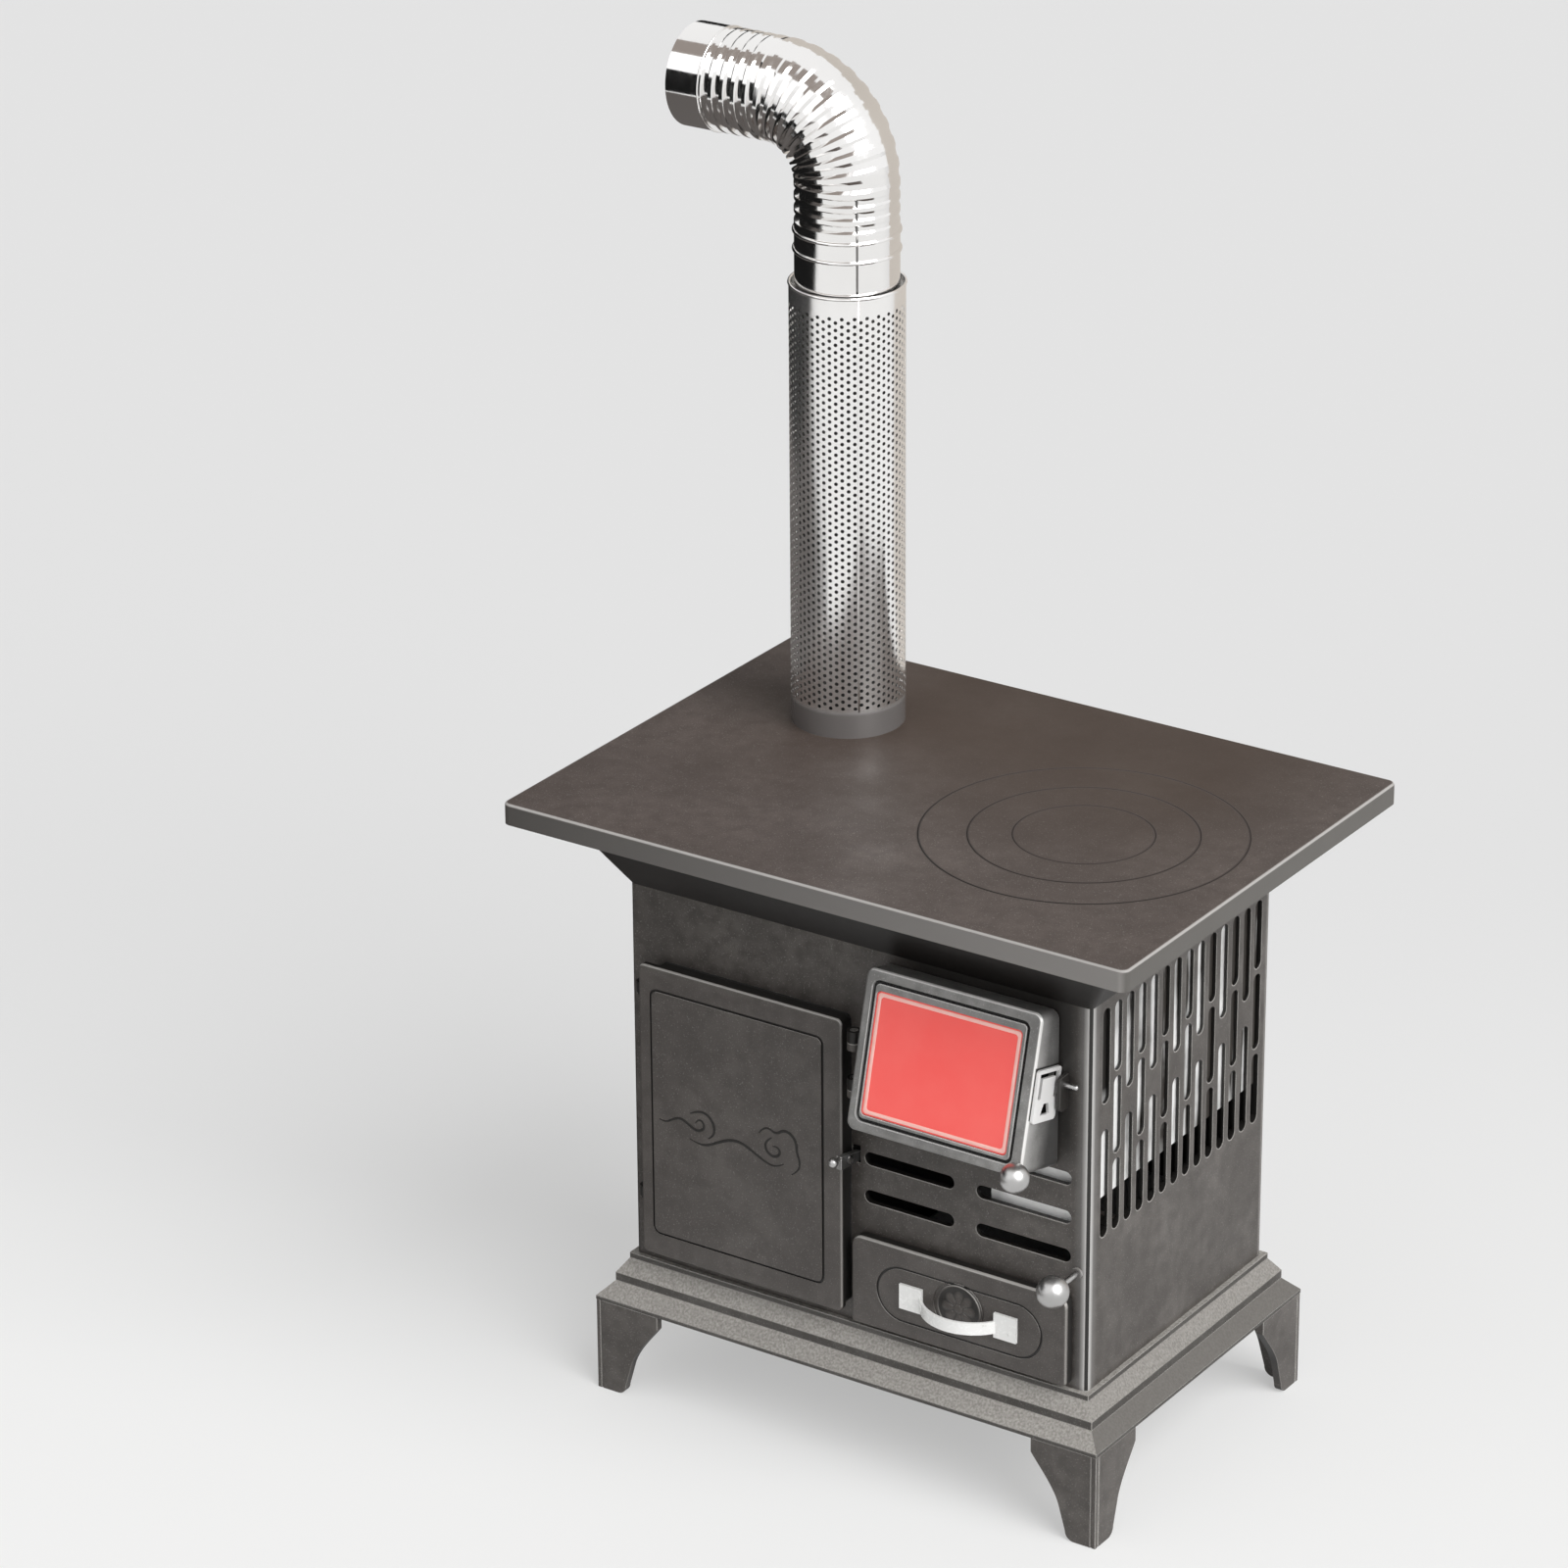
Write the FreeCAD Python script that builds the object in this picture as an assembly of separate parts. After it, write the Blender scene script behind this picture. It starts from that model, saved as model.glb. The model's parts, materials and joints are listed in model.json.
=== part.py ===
import FreeCAD, Part
import math
import os

from FreeCAD import Placement, Rotation, Vector

# A free-standing wood cookstove: cast hob plate with lift-out rings over a firebox,
# an oven beside it, an ash drawer below, and a guarded flue with a crimped elbow.
# Millimetres, +Z up, front towards -Y, origin on the floor under the hob plate's centre.

# Overall heights and plans
LEG_H = 100.0
PLINTH_H = 49.0
BODY_H = 481.0
PLATE_T = 22.0
PLATE_W = 700.0
PLATE_D = 514.0
BODY_W = 525.0
BODY_D = 336.0

# Cast panels and general fits
PANEL_T = 6.0
BODY_CORNER_R = 5.0
RUN_FIT = 0.05
SIDE_CLEAR = 0.5

# Hob plate and its lift-out rings
PLATE_CORNER_R = 9.0
PLATE_EDGE_R = 3.0
BURNER_RIGHT = 102.5
BURNER_FORWARD = 16.0
RING_T = 10.0
RING_LEDGE = 9.0
RING_LEDGE_T = 4.0
RING_SEAT = 28.0
RING_WELL = 6.0
RING_OUTER_R = 158.0
RING_MIDDLE_R = 111.0
LID_R = 68.0
FIRE_HOLE_CLEAR = 2.0

# Cornice that flares out to carry the plate
CORNICE_H = 75.0
CORNICE_OUT = 48.0
CORNICE_T = 6.0
CORNICE_CORNER_R = 14.0

# Stepped plinth: outward offsets of its four breaks and the heights of its bands
PLINTH_LIP_OUT = 5.0
PLINTH_LIP_H = 6.0
PLINTH_STEP_OUT = 15.5
PLINTH_UPPER_SLOPE_H = 15.0
PLINTH_BAND_H = 9.0
PLINTH_FOOT_OUT = 30.0
PLINTH_LOWER_SLOPE_H = 15.0
PLINTH_INSIDE = 22.0
BASE_T = 6.0
BASE_SEAT = 12.0

# Bracket legs
LEG_OUT = 29.6
LEG_WEB = 8.0
LEG_TOP_W = 73.5
LEG_TOP_BAND = 15.0
LEG_WAIST_W = 41.5
LEG_WAIST_H = 36.0
LEG_SHOULDER_IN = 9.0
LEG_SHOULDER_DROP = 13.0
LEG_HOLLOW_OUT = 6.0
LEG_HOLLOW_RISE = 19.0
LEG_TOE_W = 34.0
LEG_TOE_R = 10.0
LEG_BEAD_W = 5.0
LEG_GROOVE = 1.8
LEG_PAD = 62.0
LEG_PAD_T = 8.0
LEG_BOLT_R = 5.0
LEG_BOLT_HEAD_R = 9.0
LEG_BOLT_HEAD_T = 7.0
LEG_BOLT_GRIP = 20.0

# Oven door on the left
OVEN_DOOR_LEFT = 23.5
OVEN_DRAWER_GAP = 7.0
OVEN_DOOR_H = 316.0
OVEN_DOOR_SILL = 18.0
OVEN_DOOR_PROUD = 23.0
DOOR_PLATE_T = 8.0
DOOR_CORNER_R = 6.0
DOOR_EDGE_R = 2.0
DOOR_LAP = 25.0
MOUTH_R = 3.0
DOOR_PAN_INSET = 2.5
DOOR_PAN_HINGE_INSET = 14.0
DOOR_RAISE = 1.0
GASKET_T = 2.0
GASKET_W = 9.0
BORDER_GROOVE_W = 2.6
BORDER_GROOVE_DEPTH = 1.4
BORDER_LEFT_INSET = 13.0
BORDER_RIGHT_INSET = 20.0
BORDER_TOP_INSET = 23.0
BORDER_BOTTOM_INSET = 24.0
BORDER_R = 9.0

# Oven door hinge and latch
OVEN_HINGE_OUT = 6.0
OVEN_HINGE_PROUD = 7.0
OVEN_KNUCKLE_R = 6.0
OVEN_PIN_R = 3.0
KNUCKLE_H = 12.0
LUG_H = 8.0
OVEN_HINGE_INSET = 46.0
HINGE_ARM_T = 7.0
LEVER_T = 6.0
LEVER_GAP = 0.4
LEVER_H = 14.0
LEVER_TAIL_H = 10.0
LEVER_DROP = 5.2
LEVER_FRONT = 8.0
LEVER_TAIL = 3.0
LEVER_Z = 186.0
LATCH_PIVOT_R = 2.0
LATCH_PIVOT_IN = 2.6
LATCH_PIVOT_DEPTH = 9.0
LATCH_HEAD_R = 4.5
LATCH_HEAD_T = 2.0
LATCH_STEM_R = 2.0
LATCH_STEM_L = 10.0
LATCH_BALL_R = 5.0
LATCH_SLOT_SIDE = 1.5
LATCH_SLOT_UNDER = 1.5
LATCH_SLOT_OVER = 7.0

# Oven liner and rack
LINER_T = 3.0
LINER_OVER = 6.0
LINER_BACK = 68.0
RACK_LEDGE = 8.0
RACK_LEDGE_T = 3.0
RACK_HEIGHT = 128.0
RACK_ROD_R = 3.0
RACK_WIRE_R = 2.0
RACK_WIRES = 12
RACK_SIDE_GAP = 2.0
RACK_END_GAP = 14.0

# Sloped firebox door on the right
FIRE_DOOR_RIGHT = 34.5
FIRE_DOOR_W = 195.0
FIRE_FACE_H = 159.5
FIRE_TILT = 14.2
FIRE_BOTTOM_PROUD = 69.8
FIRE_DOOR_DROP = 156.0
FIRE_WALL = 8.0
FIRE_FACE_T = 6.0
FIRE_CORNER_R = 9.0
FIRE_EDGE_R = 3.0
FIRE_LAP = 24.0
WINDOW_LEFT = 9.0
WINDOW_RIGHT = 11.5
WINDOW_SILL = 10.2
WINDOW_HEAD = 10.2
WINDOW_R = 8.0
WINDOW_RECESS = 3.0
WINDOW_SEAL_W = 3.5
GLASS_T = 4.0
FILM_T = 0.4
FILM_LEFT = 1.8
FILM_RIGHT = 3.9
FILM_LOW = 3.5
FILM_HIGH = 7.0
FILM_CLEAR = 0.3
BEZEL_T = 1.6
CLIP_W = 22.0
CLIP_IN = 24.0
CLIP_T = 2.0
CLIP_OVER = 7.0
CLIP_SEAT = 1.5

# Firebox door hinge, knob and catch
FIRE_HINGE_OUT = 11.0
FIRE_HINGE_PROUD = 37.0
FIRE_KNUCKLE_R = 7.0
FIRE_PIN_R = 4.0
FIRE_HINGE_LOW = 17.0
FIRE_HINGE_PITCH = 50.0
KNOB_R = 14.5
KNOB_STEM_R = 4.0
KNOB_GAP = 1.6
KNOB_SIDE = 3.0
KNOB_UP = 4.5
KNOB_ROOT_IN = 9.0
KNOB_ROOT_DEPTH = 3.0
CATCH_T = 3.0
CATCH_DEPTH = 42.0
CATCH_H = 52.0
CATCH_LOW = 53.0
CATCH_FRONT = 3.0
CATCH_MARGIN = 4.0
CATCH_SLOT = 5.0
CATCH_ARCH_H = 25.0
CATCH_HOLE_H = 11.0
CATCH_HOLE_W = 17.0
KEEPER_GAP = 3.0
KEEPER_T = 4.0
KEEPER_PROUD = 15.0
KEEPER_H = 36.0
KEEPER_PIN_R = 2.6
KEEPER_PIN_L = 12.0
KEEPER_PIN_PROUD = 7.0
KEEPER_PIN_UP = 9.0

# Air slots in the front panel
SLOT_H = 14.0
SLOT_ROWS = 3
SLOT_OVER_DRAWER = 38.0
SLOT_UNDER_DOOR = 27.0
SLOT_LEFT_W = 102.0
SLOT_RIGHT_W = 106.0
SLOT_GAP = 25.0
SLOT_EDGE = 19.5

# Bamboo-like slots in the right panel
SIDE_SLOTS = 14
SIDE_PITCH = 22.0
SIDE_SLOT_W = 13.5
SIDE_FIRST = 27.0
SIDE_LOW = 156.0
SIDE_UNDER_CORNICE = 9.0
SIDE_BRIDGE_ODD = 284.0
SIDE_BRIDGE_ODD_H = 28.0
SIDE_BRIDGE_EVEN_LOW = 234.0
SIDE_BRIDGE_EVEN_HIGH = 321.0
SIDE_BRIDGE_EVEN_H = 6.0

# Ash drawer
DRAWER_RIGHT = 15.0
DRAWER_W = 243.5
DRAWER_H = 95.0
DRAWER_SILL = 8.0
DRAWER_PROUD = 15.0
DRAWER_FRONT_T = 12.0
DRAWER_CORNER_R = 11.0
DRAWER_FOOT_R = 3.0
DRAWER_LAP_SIDE = 18.0
DRAWER_LAP_LOW = 9.0
DRAWER_LAP_TOP = 14.0
TRAY_CLEAR = 3.0
TRAY_T = 2.0
TRAY_BACK = 42.0
TRAY_H = 60.0
RUNNER_W = 10.0
RUNNER_INSET = 8.0
FACE_SHIFT = 1.4
FACE_DROP = 2.3
STADIUM_W = 189.0
STADIUM_H = 60.0
MEDALLION_UP = 4.0
MEDALLION_R = 29.0
MEDALLION_RIM = 2.4
MEDALLION_SINK = 1.0

# Drawer pull
PULL_PITCH = 107.4
PULL_PLATE_W = 25.5
PULL_PLATE_H = 26.5
PULL_PLATE_T = 3.0
BOW_INSET = 10.5
BOW_OUT = 22.6
BOW_H = 13.0
BOW_T = 2.5
BOW_DROP = 2.0

# Firebox
PARTITION_GAP = 10.0
PARTITION_T = 6.0
PARTITION_TOP = 70.0
FLOOR_T = 8.0
FLOOR_UNDER_MOUTH = 20.0
BRICK_T = 25.0
BRICK_H = 150.0
BRICK_BACK = 68.0
BRICK_GAP = 13.0
GRATE_T = 10.0
GRATE_W = 150.0
GRATE_D = 180.0
GRATE_FRONT = 42.0
GRATE_BARS = 9
GRATE_SLOT_W = 8.0
GRATE_RIM = 12.0
GRATE_LAP = 12.0
GRATE_STROKE = 25.0

# Grate shaker
SHAKER_X = 12.0
SHAKER_Z = 126.0
SHAKER_ROD_R = 3.0
SHAKER_KNOB_R = 16.0
SHAKER_KNOB_PROUD = 45.0
SHAKER_BUSH_R = 6.0
SHAKER_BUSH_T = 2.0
SHAKER_LINK_T = 6.0
SHAKER_LINK_W = 12.0
SHAKER_LINK_BACK = 102.0

# Heat shield behind the slotted panel
SHIELD_T = 1.5
SHIELD_POCKET = 3.0
SHIELD_MARGIN = 2.0
SHIELD_GAP = 1.2
SHIELD_LOW = 196.0
SHIELD_TOP_GAP = 30.0
SHIELD_FRONT_GAP = 3.0
SHIELD_BACK_GAP = 12.0
SHIELD_RETURN_W = 110.0
SHIELD_RETURN_LOW = 165.0
SHIELD_RETURN_TOP = 0.3
SPACER_R = 3.5
SPACER_EDGE = 7.0

# Flue, its perforated guard and the crimped elbow
FLUE_LEFT = 77.5
FLUE_BACK = 66.0
PIPE_R = 50.0
PIPE_T = 1.0
GUARD_R = 57.4
GUARD_T = 1.0
GUARD_L = 458.0
GUARD_RIM_R = 1.6
COLLAR_RISE = 16.0
COLLAR_FLANGE = 3.0
COLLAR_FLANGE_T = 6.0
COLLAR_LEDGE = 3.0
SOCKET_T = 1.2
SOCKET_FIT = 0.08
SOCKET_DIP = 10.0
SOCKET_RISE = 60.0
BEAD_R = 2.0
BEAD_LOW = 33.0
BEAD_PITCH = 19.0
BEND_R = 79.0
CRIMP_RISE = 39.0
CRIMP_RUN = 58.0
CRIMPS = 17
CRIMP_INNER = 7.0
CRIMP_OUTER = 0.6
CRIMP_FLAT = 0.16
OUTLET_L = 38.0
OUTLET_BEAD_R = 1.0

# Levels and faces that follow from the sizes above
Z_PLINTH = LEG_H
Z_BODY = Z_PLINTH + PLINTH_H
Z_PLATE = Z_BODY + BODY_H
Z_TOP = Z_PLATE + PLATE_T
Z_CORNICE = Z_PLATE - CORNICE_H
HX = BODY_W / 2
HY = BODY_D / 2
FRONT = -HY
FRONT_IN = FRONT + PANEL_T
SIDE_IN = HX - PANEL_T
BURNER_X = HX - BURNER_RIGHT
BURNER_Y = -BURNER_FORWARD
FLUE_X = -HX + FLUE_LEFT
FLUE_Y = HY - FLUE_BACK

X_AXIS = Vector(1, 0, 0)
Y_AXIS = Vector(0, 1, 0)
Z_AXIS = Vector(0, 0, 1)


def box(x0, x1, y0, y1, z0, z1):
    return Part.makeBox(x1 - x0, y1 - y0, z1 - z0, Vector(x0, y0, z0))


def rod(start, end, radius):
    start, end = Vector(*start), Vector(*end)
    return Part.makeCylinder(radius, (end - start).Length, start, end - start)


def tube(start, end, outer, inner):
    return rod(start, end, outer).cut(rod(start, end, inner))


def rounded_wire(x0, x1, y0, y1, r, z=0.0):
    """A closed rectangle with rounded corners in a horizontal plane."""
    k = r * (1 - math.sqrt(0.5))
    lines = [((x0 + r, y0), (x1 - r, y0)), ((x1, y0 + r), (x1, y1 - r)),
             ((x1 - r, y1), (x0 + r, y1)), ((x0, y1 - r), (x0, y0 + r))]
    mids = [(x1 - k, y0 + k), (x1 - k, y1 - k), (x0 + k, y1 - k), (x0 + k, y0 + k)]
    edges = []
    for i, (a, b) in enumerate(lines):
        edges.append(Part.LineSegment(Vector(*a, z), Vector(*b, z)).toShape())
        start = lines[(i + 1) % 4][0]
        edges.append(Part.Arc(Vector(*b, z), Vector(*mids[i], z), Vector(*start, z)).toShape())
    return Part.Wire(edges)


def plan_prism(x0, x1, y0, y1, r, z0, z1):
    face = Part.Face(rounded_wire(x0, x1, y0, y1, r, z0))
    return face.extrude(Vector(0, 0, z1 - z0))


def front_prism(x0, x1, z0, z1, r, y0, y1):
    """A rounded rectangle seen from the front, from depth y0 back to y1."""
    face = Part.Face(rounded_wire(x0, x1, z0, z1, r))
    face.Placement = Placement(Vector(0, y1, 0), Rotation(X_AXIS, 90))
    return face.extrude(Vector(0, y0 - y1, 0))


def side_prism(points, x0, x1):
    """An outline of (y, z) points carried along X."""
    wire = Part.makePolygon([Vector(x0, y, z) for y, z in points + points[:1]])
    return Part.Face(wire).extrude(Vector(x1 - x0, 0, 0))


def fuse(shapes):
    return shapes[0].multiFuse(shapes[1:]).removeSplitter()


def inset(rect, by):
    x0, x1, z0, z1 = rect
    return (x0 + by, x1 - by, z0 + by, z1 - by)


def edges_where(shape, test):
    return [e for e in shape.Edges if test(e)]


def mirrored_x(shape):
    return shape.mirror(Vector(0, 0, 0), X_AXIS)


def mirrored_y(shape):
    return shape.mirror(Vector(0, 0, 0), Y_AXIS)


# Hob plate and rings

RECESS_Z = Z_TOP - RING_T
LEDGE_Z = RECESS_Z + RING_LEDGE_T
FIRE_HOLE_R = RING_MIDDLE_R - RING_LEDGE + FIRE_HOLE_CLEAR
COLLAR_R = GUARD_R - GUARD_T - SIDE_CLEAR / 2


def burner_ring(outer, inner, z0, z1):
    centre = (BURNER_X, BURNER_Y)
    return tube((*centre, z0), (*centre, z1), outer, inner)


def top_plate():
    plate = plan_prism(-PLATE_W / 2, PLATE_W / 2, -PLATE_D / 2, PLATE_D / 2,
                       PLATE_CORNER_R, Z_PLATE, Z_TOP)
    top = edges_where(plate, lambda e: e.BoundBox.ZMin > Z_TOP - 0.01)
    plate = plate.makeFillet(PLATE_EDGE_R, top)
    burner = (BURNER_X, BURNER_Y)
    plate = plate.cut(rod((*burner, RECESS_Z), (*burner, Z_TOP), RING_OUTER_R + SIDE_CLEAR))
    plate = plate.cut(rod((*burner, RECESS_Z - RING_WELL), (*burner, Z_TOP), RING_OUTER_R - RING_SEAT))
    plate = plate.cut(rod((*burner, Z_PLATE), (*burner, Z_TOP), FIRE_HOLE_R))
    return plate.cut(rod((FLUE_X, FLUE_Y, Z_PLATE), (FLUE_X, FLUE_Y, Z_TOP), COLLAR_R))


def lift_ring(outer, foot, inner):
    """A ring with a ledge inside it that carries the next piece in, of radius inner."""
    hole = inner + SIDE_CLEAR
    return fuse([burner_ring(outer, hole, LEDGE_Z, Z_TOP),
                 burner_ring(foot, hole - RING_LEDGE, RECESS_Z, LEDGE_Z)])


def hob_ring_outer():
    return lift_ring(RING_OUTER_R, RING_OUTER_R, RING_MIDDLE_R)


def hob_ring_middle():
    return lift_ring(RING_MIDDLE_R, RING_MIDDLE_R - RING_LEDGE, LID_R)


def hob_lid():
    return rod((BURNER_X, BURNER_Y, LEDGE_Z), (BURNER_X, BURNER_Y, Z_TOP), LID_R)


# Shell: cornice, four panels, plinth and base

def offset_wire(out, r, z):
    return rounded_wire(-HX - out, HX + out, -HY - out, HY + out, r, z)


def cornice():
    def skirt(lift):
        low = offset_wire(0, BODY_CORNER_R, Z_CORNICE + lift)
        high = offset_wire(CORNICE_OUT, CORNICE_CORNER_R, Z_PLATE + lift)
        return Part.makeLoft([low, high], True, True)

    lift = CORNICE_T * math.hypot(CORNICE_H, CORNICE_OUT) / CORNICE_OUT
    body = plan_prism(-HX, HX, -HY, HY, BODY_CORNER_R, Z_CORNICE, Z_PLATE)
    return skirt(0).cut(skirt(lift)).cut(body)


def end_panel(front):
    """Front or rear panel, full width, its outer upright edges rounded."""
    y0, y1 = (FRONT, FRONT_IN) if front else (HY - PANEL_T, HY)
    outer = FRONT if front else HY
    panel = box(-HX, HX, y0, y1, Z_BODY, Z_PLATE)
    upright = edges_where(panel, lambda e: e.BoundBox.ZLength > BODY_H - 1
                          and abs(e.BoundBox.YMin - outer) < 0.01)
    return panel.makeFillet(BODY_CORNER_R, upright)


def slot(x0, x1, z_mid):
    return front_prism(x0, x1, z_mid - SLOT_H / 2, z_mid + SLOT_H / 2, SLOT_H / 2 - 0.01,
                       FRONT, FRONT_IN)


DRAWER_X1 = HX - DRAWER_RIGHT
DRAWER_X0 = DRAWER_X1 - DRAWER_W
DRAWER_Z0 = Z_BODY + DRAWER_SILL
DRAWER_Z1 = DRAWER_Z0 + DRAWER_H
DRAWER_FACE = FRONT - DRAWER_PROUD
DRAWER_MOUTH = (DRAWER_X0 + DRAWER_LAP_SIDE, DRAWER_X1 - DRAWER_LAP_SIDE,
                DRAWER_Z0 + DRAWER_LAP_LOW, DRAWER_Z1 - DRAWER_LAP_TOP)

OVEN_X0 = -HX + OVEN_DOOR_LEFT
OVEN_X1 = DRAWER_X0 - OVEN_DRAWER_GAP
OVEN_Z0 = Z_BODY + OVEN_DOOR_SILL
OVEN_Z1 = OVEN_Z0 + OVEN_DOOR_H
OVEN_FACE = FRONT - OVEN_DOOR_PROUD
OVEN_MOUTH = (OVEN_X0 + DOOR_LAP, OVEN_X1 - DOOR_LAP, OVEN_Z0 + DOOR_LAP, OVEN_Z1 - DOOR_LAP)

FIRE_X1 = HX - FIRE_DOOR_RIGHT
FIRE_X0 = FIRE_X1 - FIRE_DOOR_W
FIRE_Z0 = Z_CORNICE - FIRE_DOOR_DROP
FIRE_Y0 = FRONT - FIRE_BOTTOM_PROUD
TILT_COS = math.cos(math.radians(FIRE_TILT))
TILT_SIN = math.sin(math.radians(FIRE_TILT))
# Where the sloped door's bottom and top faces meet the front panel
FIRE_LOW_Z = FIRE_Z0 - FIRE_BOTTOM_PROUD * TILT_SIN / TILT_COS
FIRE_HIGH_Z = FIRE_LOW_Z + FIRE_FACE_H / TILT_COS
FIRE_MOUTH = (FIRE_X0 + FIRE_LAP, FIRE_X1 - FIRE_LAP, FIRE_LOW_Z + FIRE_LAP, FIRE_HIGH_Z - FIRE_LAP)

SHAKER = (HX - SHAKER_X, Z_BODY + SHAKER_Z)
LATCH_Z = Z_BODY + LEVER_Z
LEVER_X0 = OVEN_X1 + LEVER_GAP
LEVER_X1 = LEVER_X0 + LEVER_T


def front_panel():
    panel = end_panel(True)
    cuts = [front_prism(*mouth, MOUTH_R, FRONT, FRONT_IN)
            for mouth in (OVEN_MOUTH, FIRE_MOUTH, DRAWER_MOUTH)]
    right_x1 = HX - SLOT_EDGE
    right_x0 = right_x1 - SLOT_RIGHT_W
    left_x1 = right_x0 - SLOT_GAP
    low, high = DRAWER_Z1 + SLOT_OVER_DRAWER, FIRE_Z0 - SLOT_UNDER_DOOR
    for row in range(SLOT_ROWS):
        z_mid = low + (high - low) * row / (SLOT_ROWS - 1)
        cuts.append(slot(right_x0, right_x1, z_mid))
        cuts.append(slot(left_x1 - SLOT_LEFT_W, left_x1, z_mid))
    cuts.append(rod((SHAKER[0], FRONT, SHAKER[1]), (SHAKER[0], FRONT_IN, SHAKER[1]),
                    SHAKER_BUSH_R - SHAKER_BUSH_T))
    tail_z0 = LATCH_Z - LEVER_DROP - LEVER_TAIL_H / 2
    cuts.append(box(LEVER_X0 - LATCH_SLOT_SIDE, LEVER_X1 + LATCH_SLOT_SIDE, FRONT, FRONT_IN,
                    tail_z0 - LATCH_SLOT_UNDER, tail_z0 + LEVER_TAIL_H + LATCH_SLOT_OVER))
    return panel.cut(cuts)


def rear_panel():
    return end_panel(False)


def side_panel(x0):
    return box(x0, x0 + PANEL_T, FRONT_IN, HY - PANEL_T, Z_BODY, Z_PLATE)


def left_panel():
    return side_panel(-HX)


def side_slot(y_mid, low, high):
    y0, y1 = y_mid - SIDE_SLOT_W / 2, y_mid + SIDE_SLOT_W / 2
    face = Part.Face(rounded_wire(y0, y1, Z_BODY + low, Z_BODY + high, SIDE_SLOT_W / 2 - 0.01))
    face.Placement = Placement(Vector(SIDE_IN, 0, 0), Rotation(Vector(1, 1, 1), 120))
    return face.extrude(Vector(PANEL_T, 0, 0))


def right_panel():
    """Slot columns alternate one long bridge with two thin ones, like bamboo canes."""
    top = BODY_H - CORNICE_H - SIDE_UNDER_CORNICE
    odd = [(SIDE_LOW, SIDE_BRIDGE_ODD - SIDE_BRIDGE_ODD_H / 2),
           (SIDE_BRIDGE_ODD + SIDE_BRIDGE_ODD_H / 2, top)]
    half = SIDE_BRIDGE_EVEN_H / 2
    even = [(SIDE_LOW, SIDE_BRIDGE_EVEN_LOW - half),
            (SIDE_BRIDGE_EVEN_LOW + half, SIDE_BRIDGE_EVEN_HIGH - half),
            (SIDE_BRIDGE_EVEN_HIGH + half, top)]
    cuts = []
    for i in range(SIDE_SLOTS):
        y_mid = FRONT + SIDE_FIRST + i * SIDE_PITCH
        cuts += [side_slot(y_mid, low, high) for low, high in (even if i % 2 else odd)]
    pocket = box(SIDE_IN, SIDE_IN + SHIELD_POCKET, SHIELD_Y0 - SHIELD_MARGIN, SHIELD_Y1 + SHIELD_MARGIN,
                 SHIELD_RETURN_Z0 - SHIELD_MARGIN, SHIELD_Z1 + SHIELD_MARGIN)
    return side_panel(SIDE_IN).cut(cuts + [pocket])


def plinth():
    steps = [(PLINTH_LIP_OUT, Z_BODY)]
    for out, drop in ((PLINTH_LIP_OUT, PLINTH_LIP_H), (PLINTH_STEP_OUT, PLINTH_UPPER_SLOPE_H),
                      (PLINTH_STEP_OUT, PLINTH_BAND_H), (PLINTH_FOOT_OUT, PLINTH_LOWER_SLOPE_H)):
        steps.append((out, steps[-1][1] - drop))
    steps.append((PLINTH_FOOT_OUT, Z_PLINTH))

    def rectangle(out, z):
        corners = [(-1, -1), (1, -1), (1, 1), (-1, 1), (-1, -1)]
        return Part.makePolygon([Vector(sx * (HX + out), sy * (HY + out), z) for sx, sy in corners])

    bands = [Part.makeLoft([rectangle(*low), rectangle(*high)], True, True)
             for high, low in zip(steps, steps[1:])]
    inside = box(-HX + PLINTH_INSIDE, HX - PLINTH_INSIDE, -HY + PLINTH_INSIDE, HY - PLINTH_INSIDE,
                 Z_PLINTH, Z_BODY)
    seat = box(-HX + PLINTH_INSIDE - BASE_SEAT, HX - PLINTH_INSIDE + BASE_SEAT,
               -HY + PLINTH_INSIDE - BASE_SEAT, HY - PLINTH_INSIDE + BASE_SEAT, Z_BODY - BASE_T, Z_BODY)
    ring = fuse(bands).cut([inside, seat])
    return ring.cut([leg_bolt(sx, sy, LEG_BOLT_R, False) for sx in (-1, 1) for sy in (-1, 1)])


def base_plate():
    inset = PLINTH_INSIDE - BASE_SEAT
    return box(-HX + inset, HX - inset, -HY + inset, HY - inset, Z_BODY - BASE_T, Z_BODY)


# Legs and their bolts

LEG_X = HX + LEG_OUT
LEG_Y = HY + LEG_OUT
BOLT_X = LEG_X - LEG_PAD / 2
BOLT_Y = LEG_Y - LEG_PAD / 2


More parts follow.
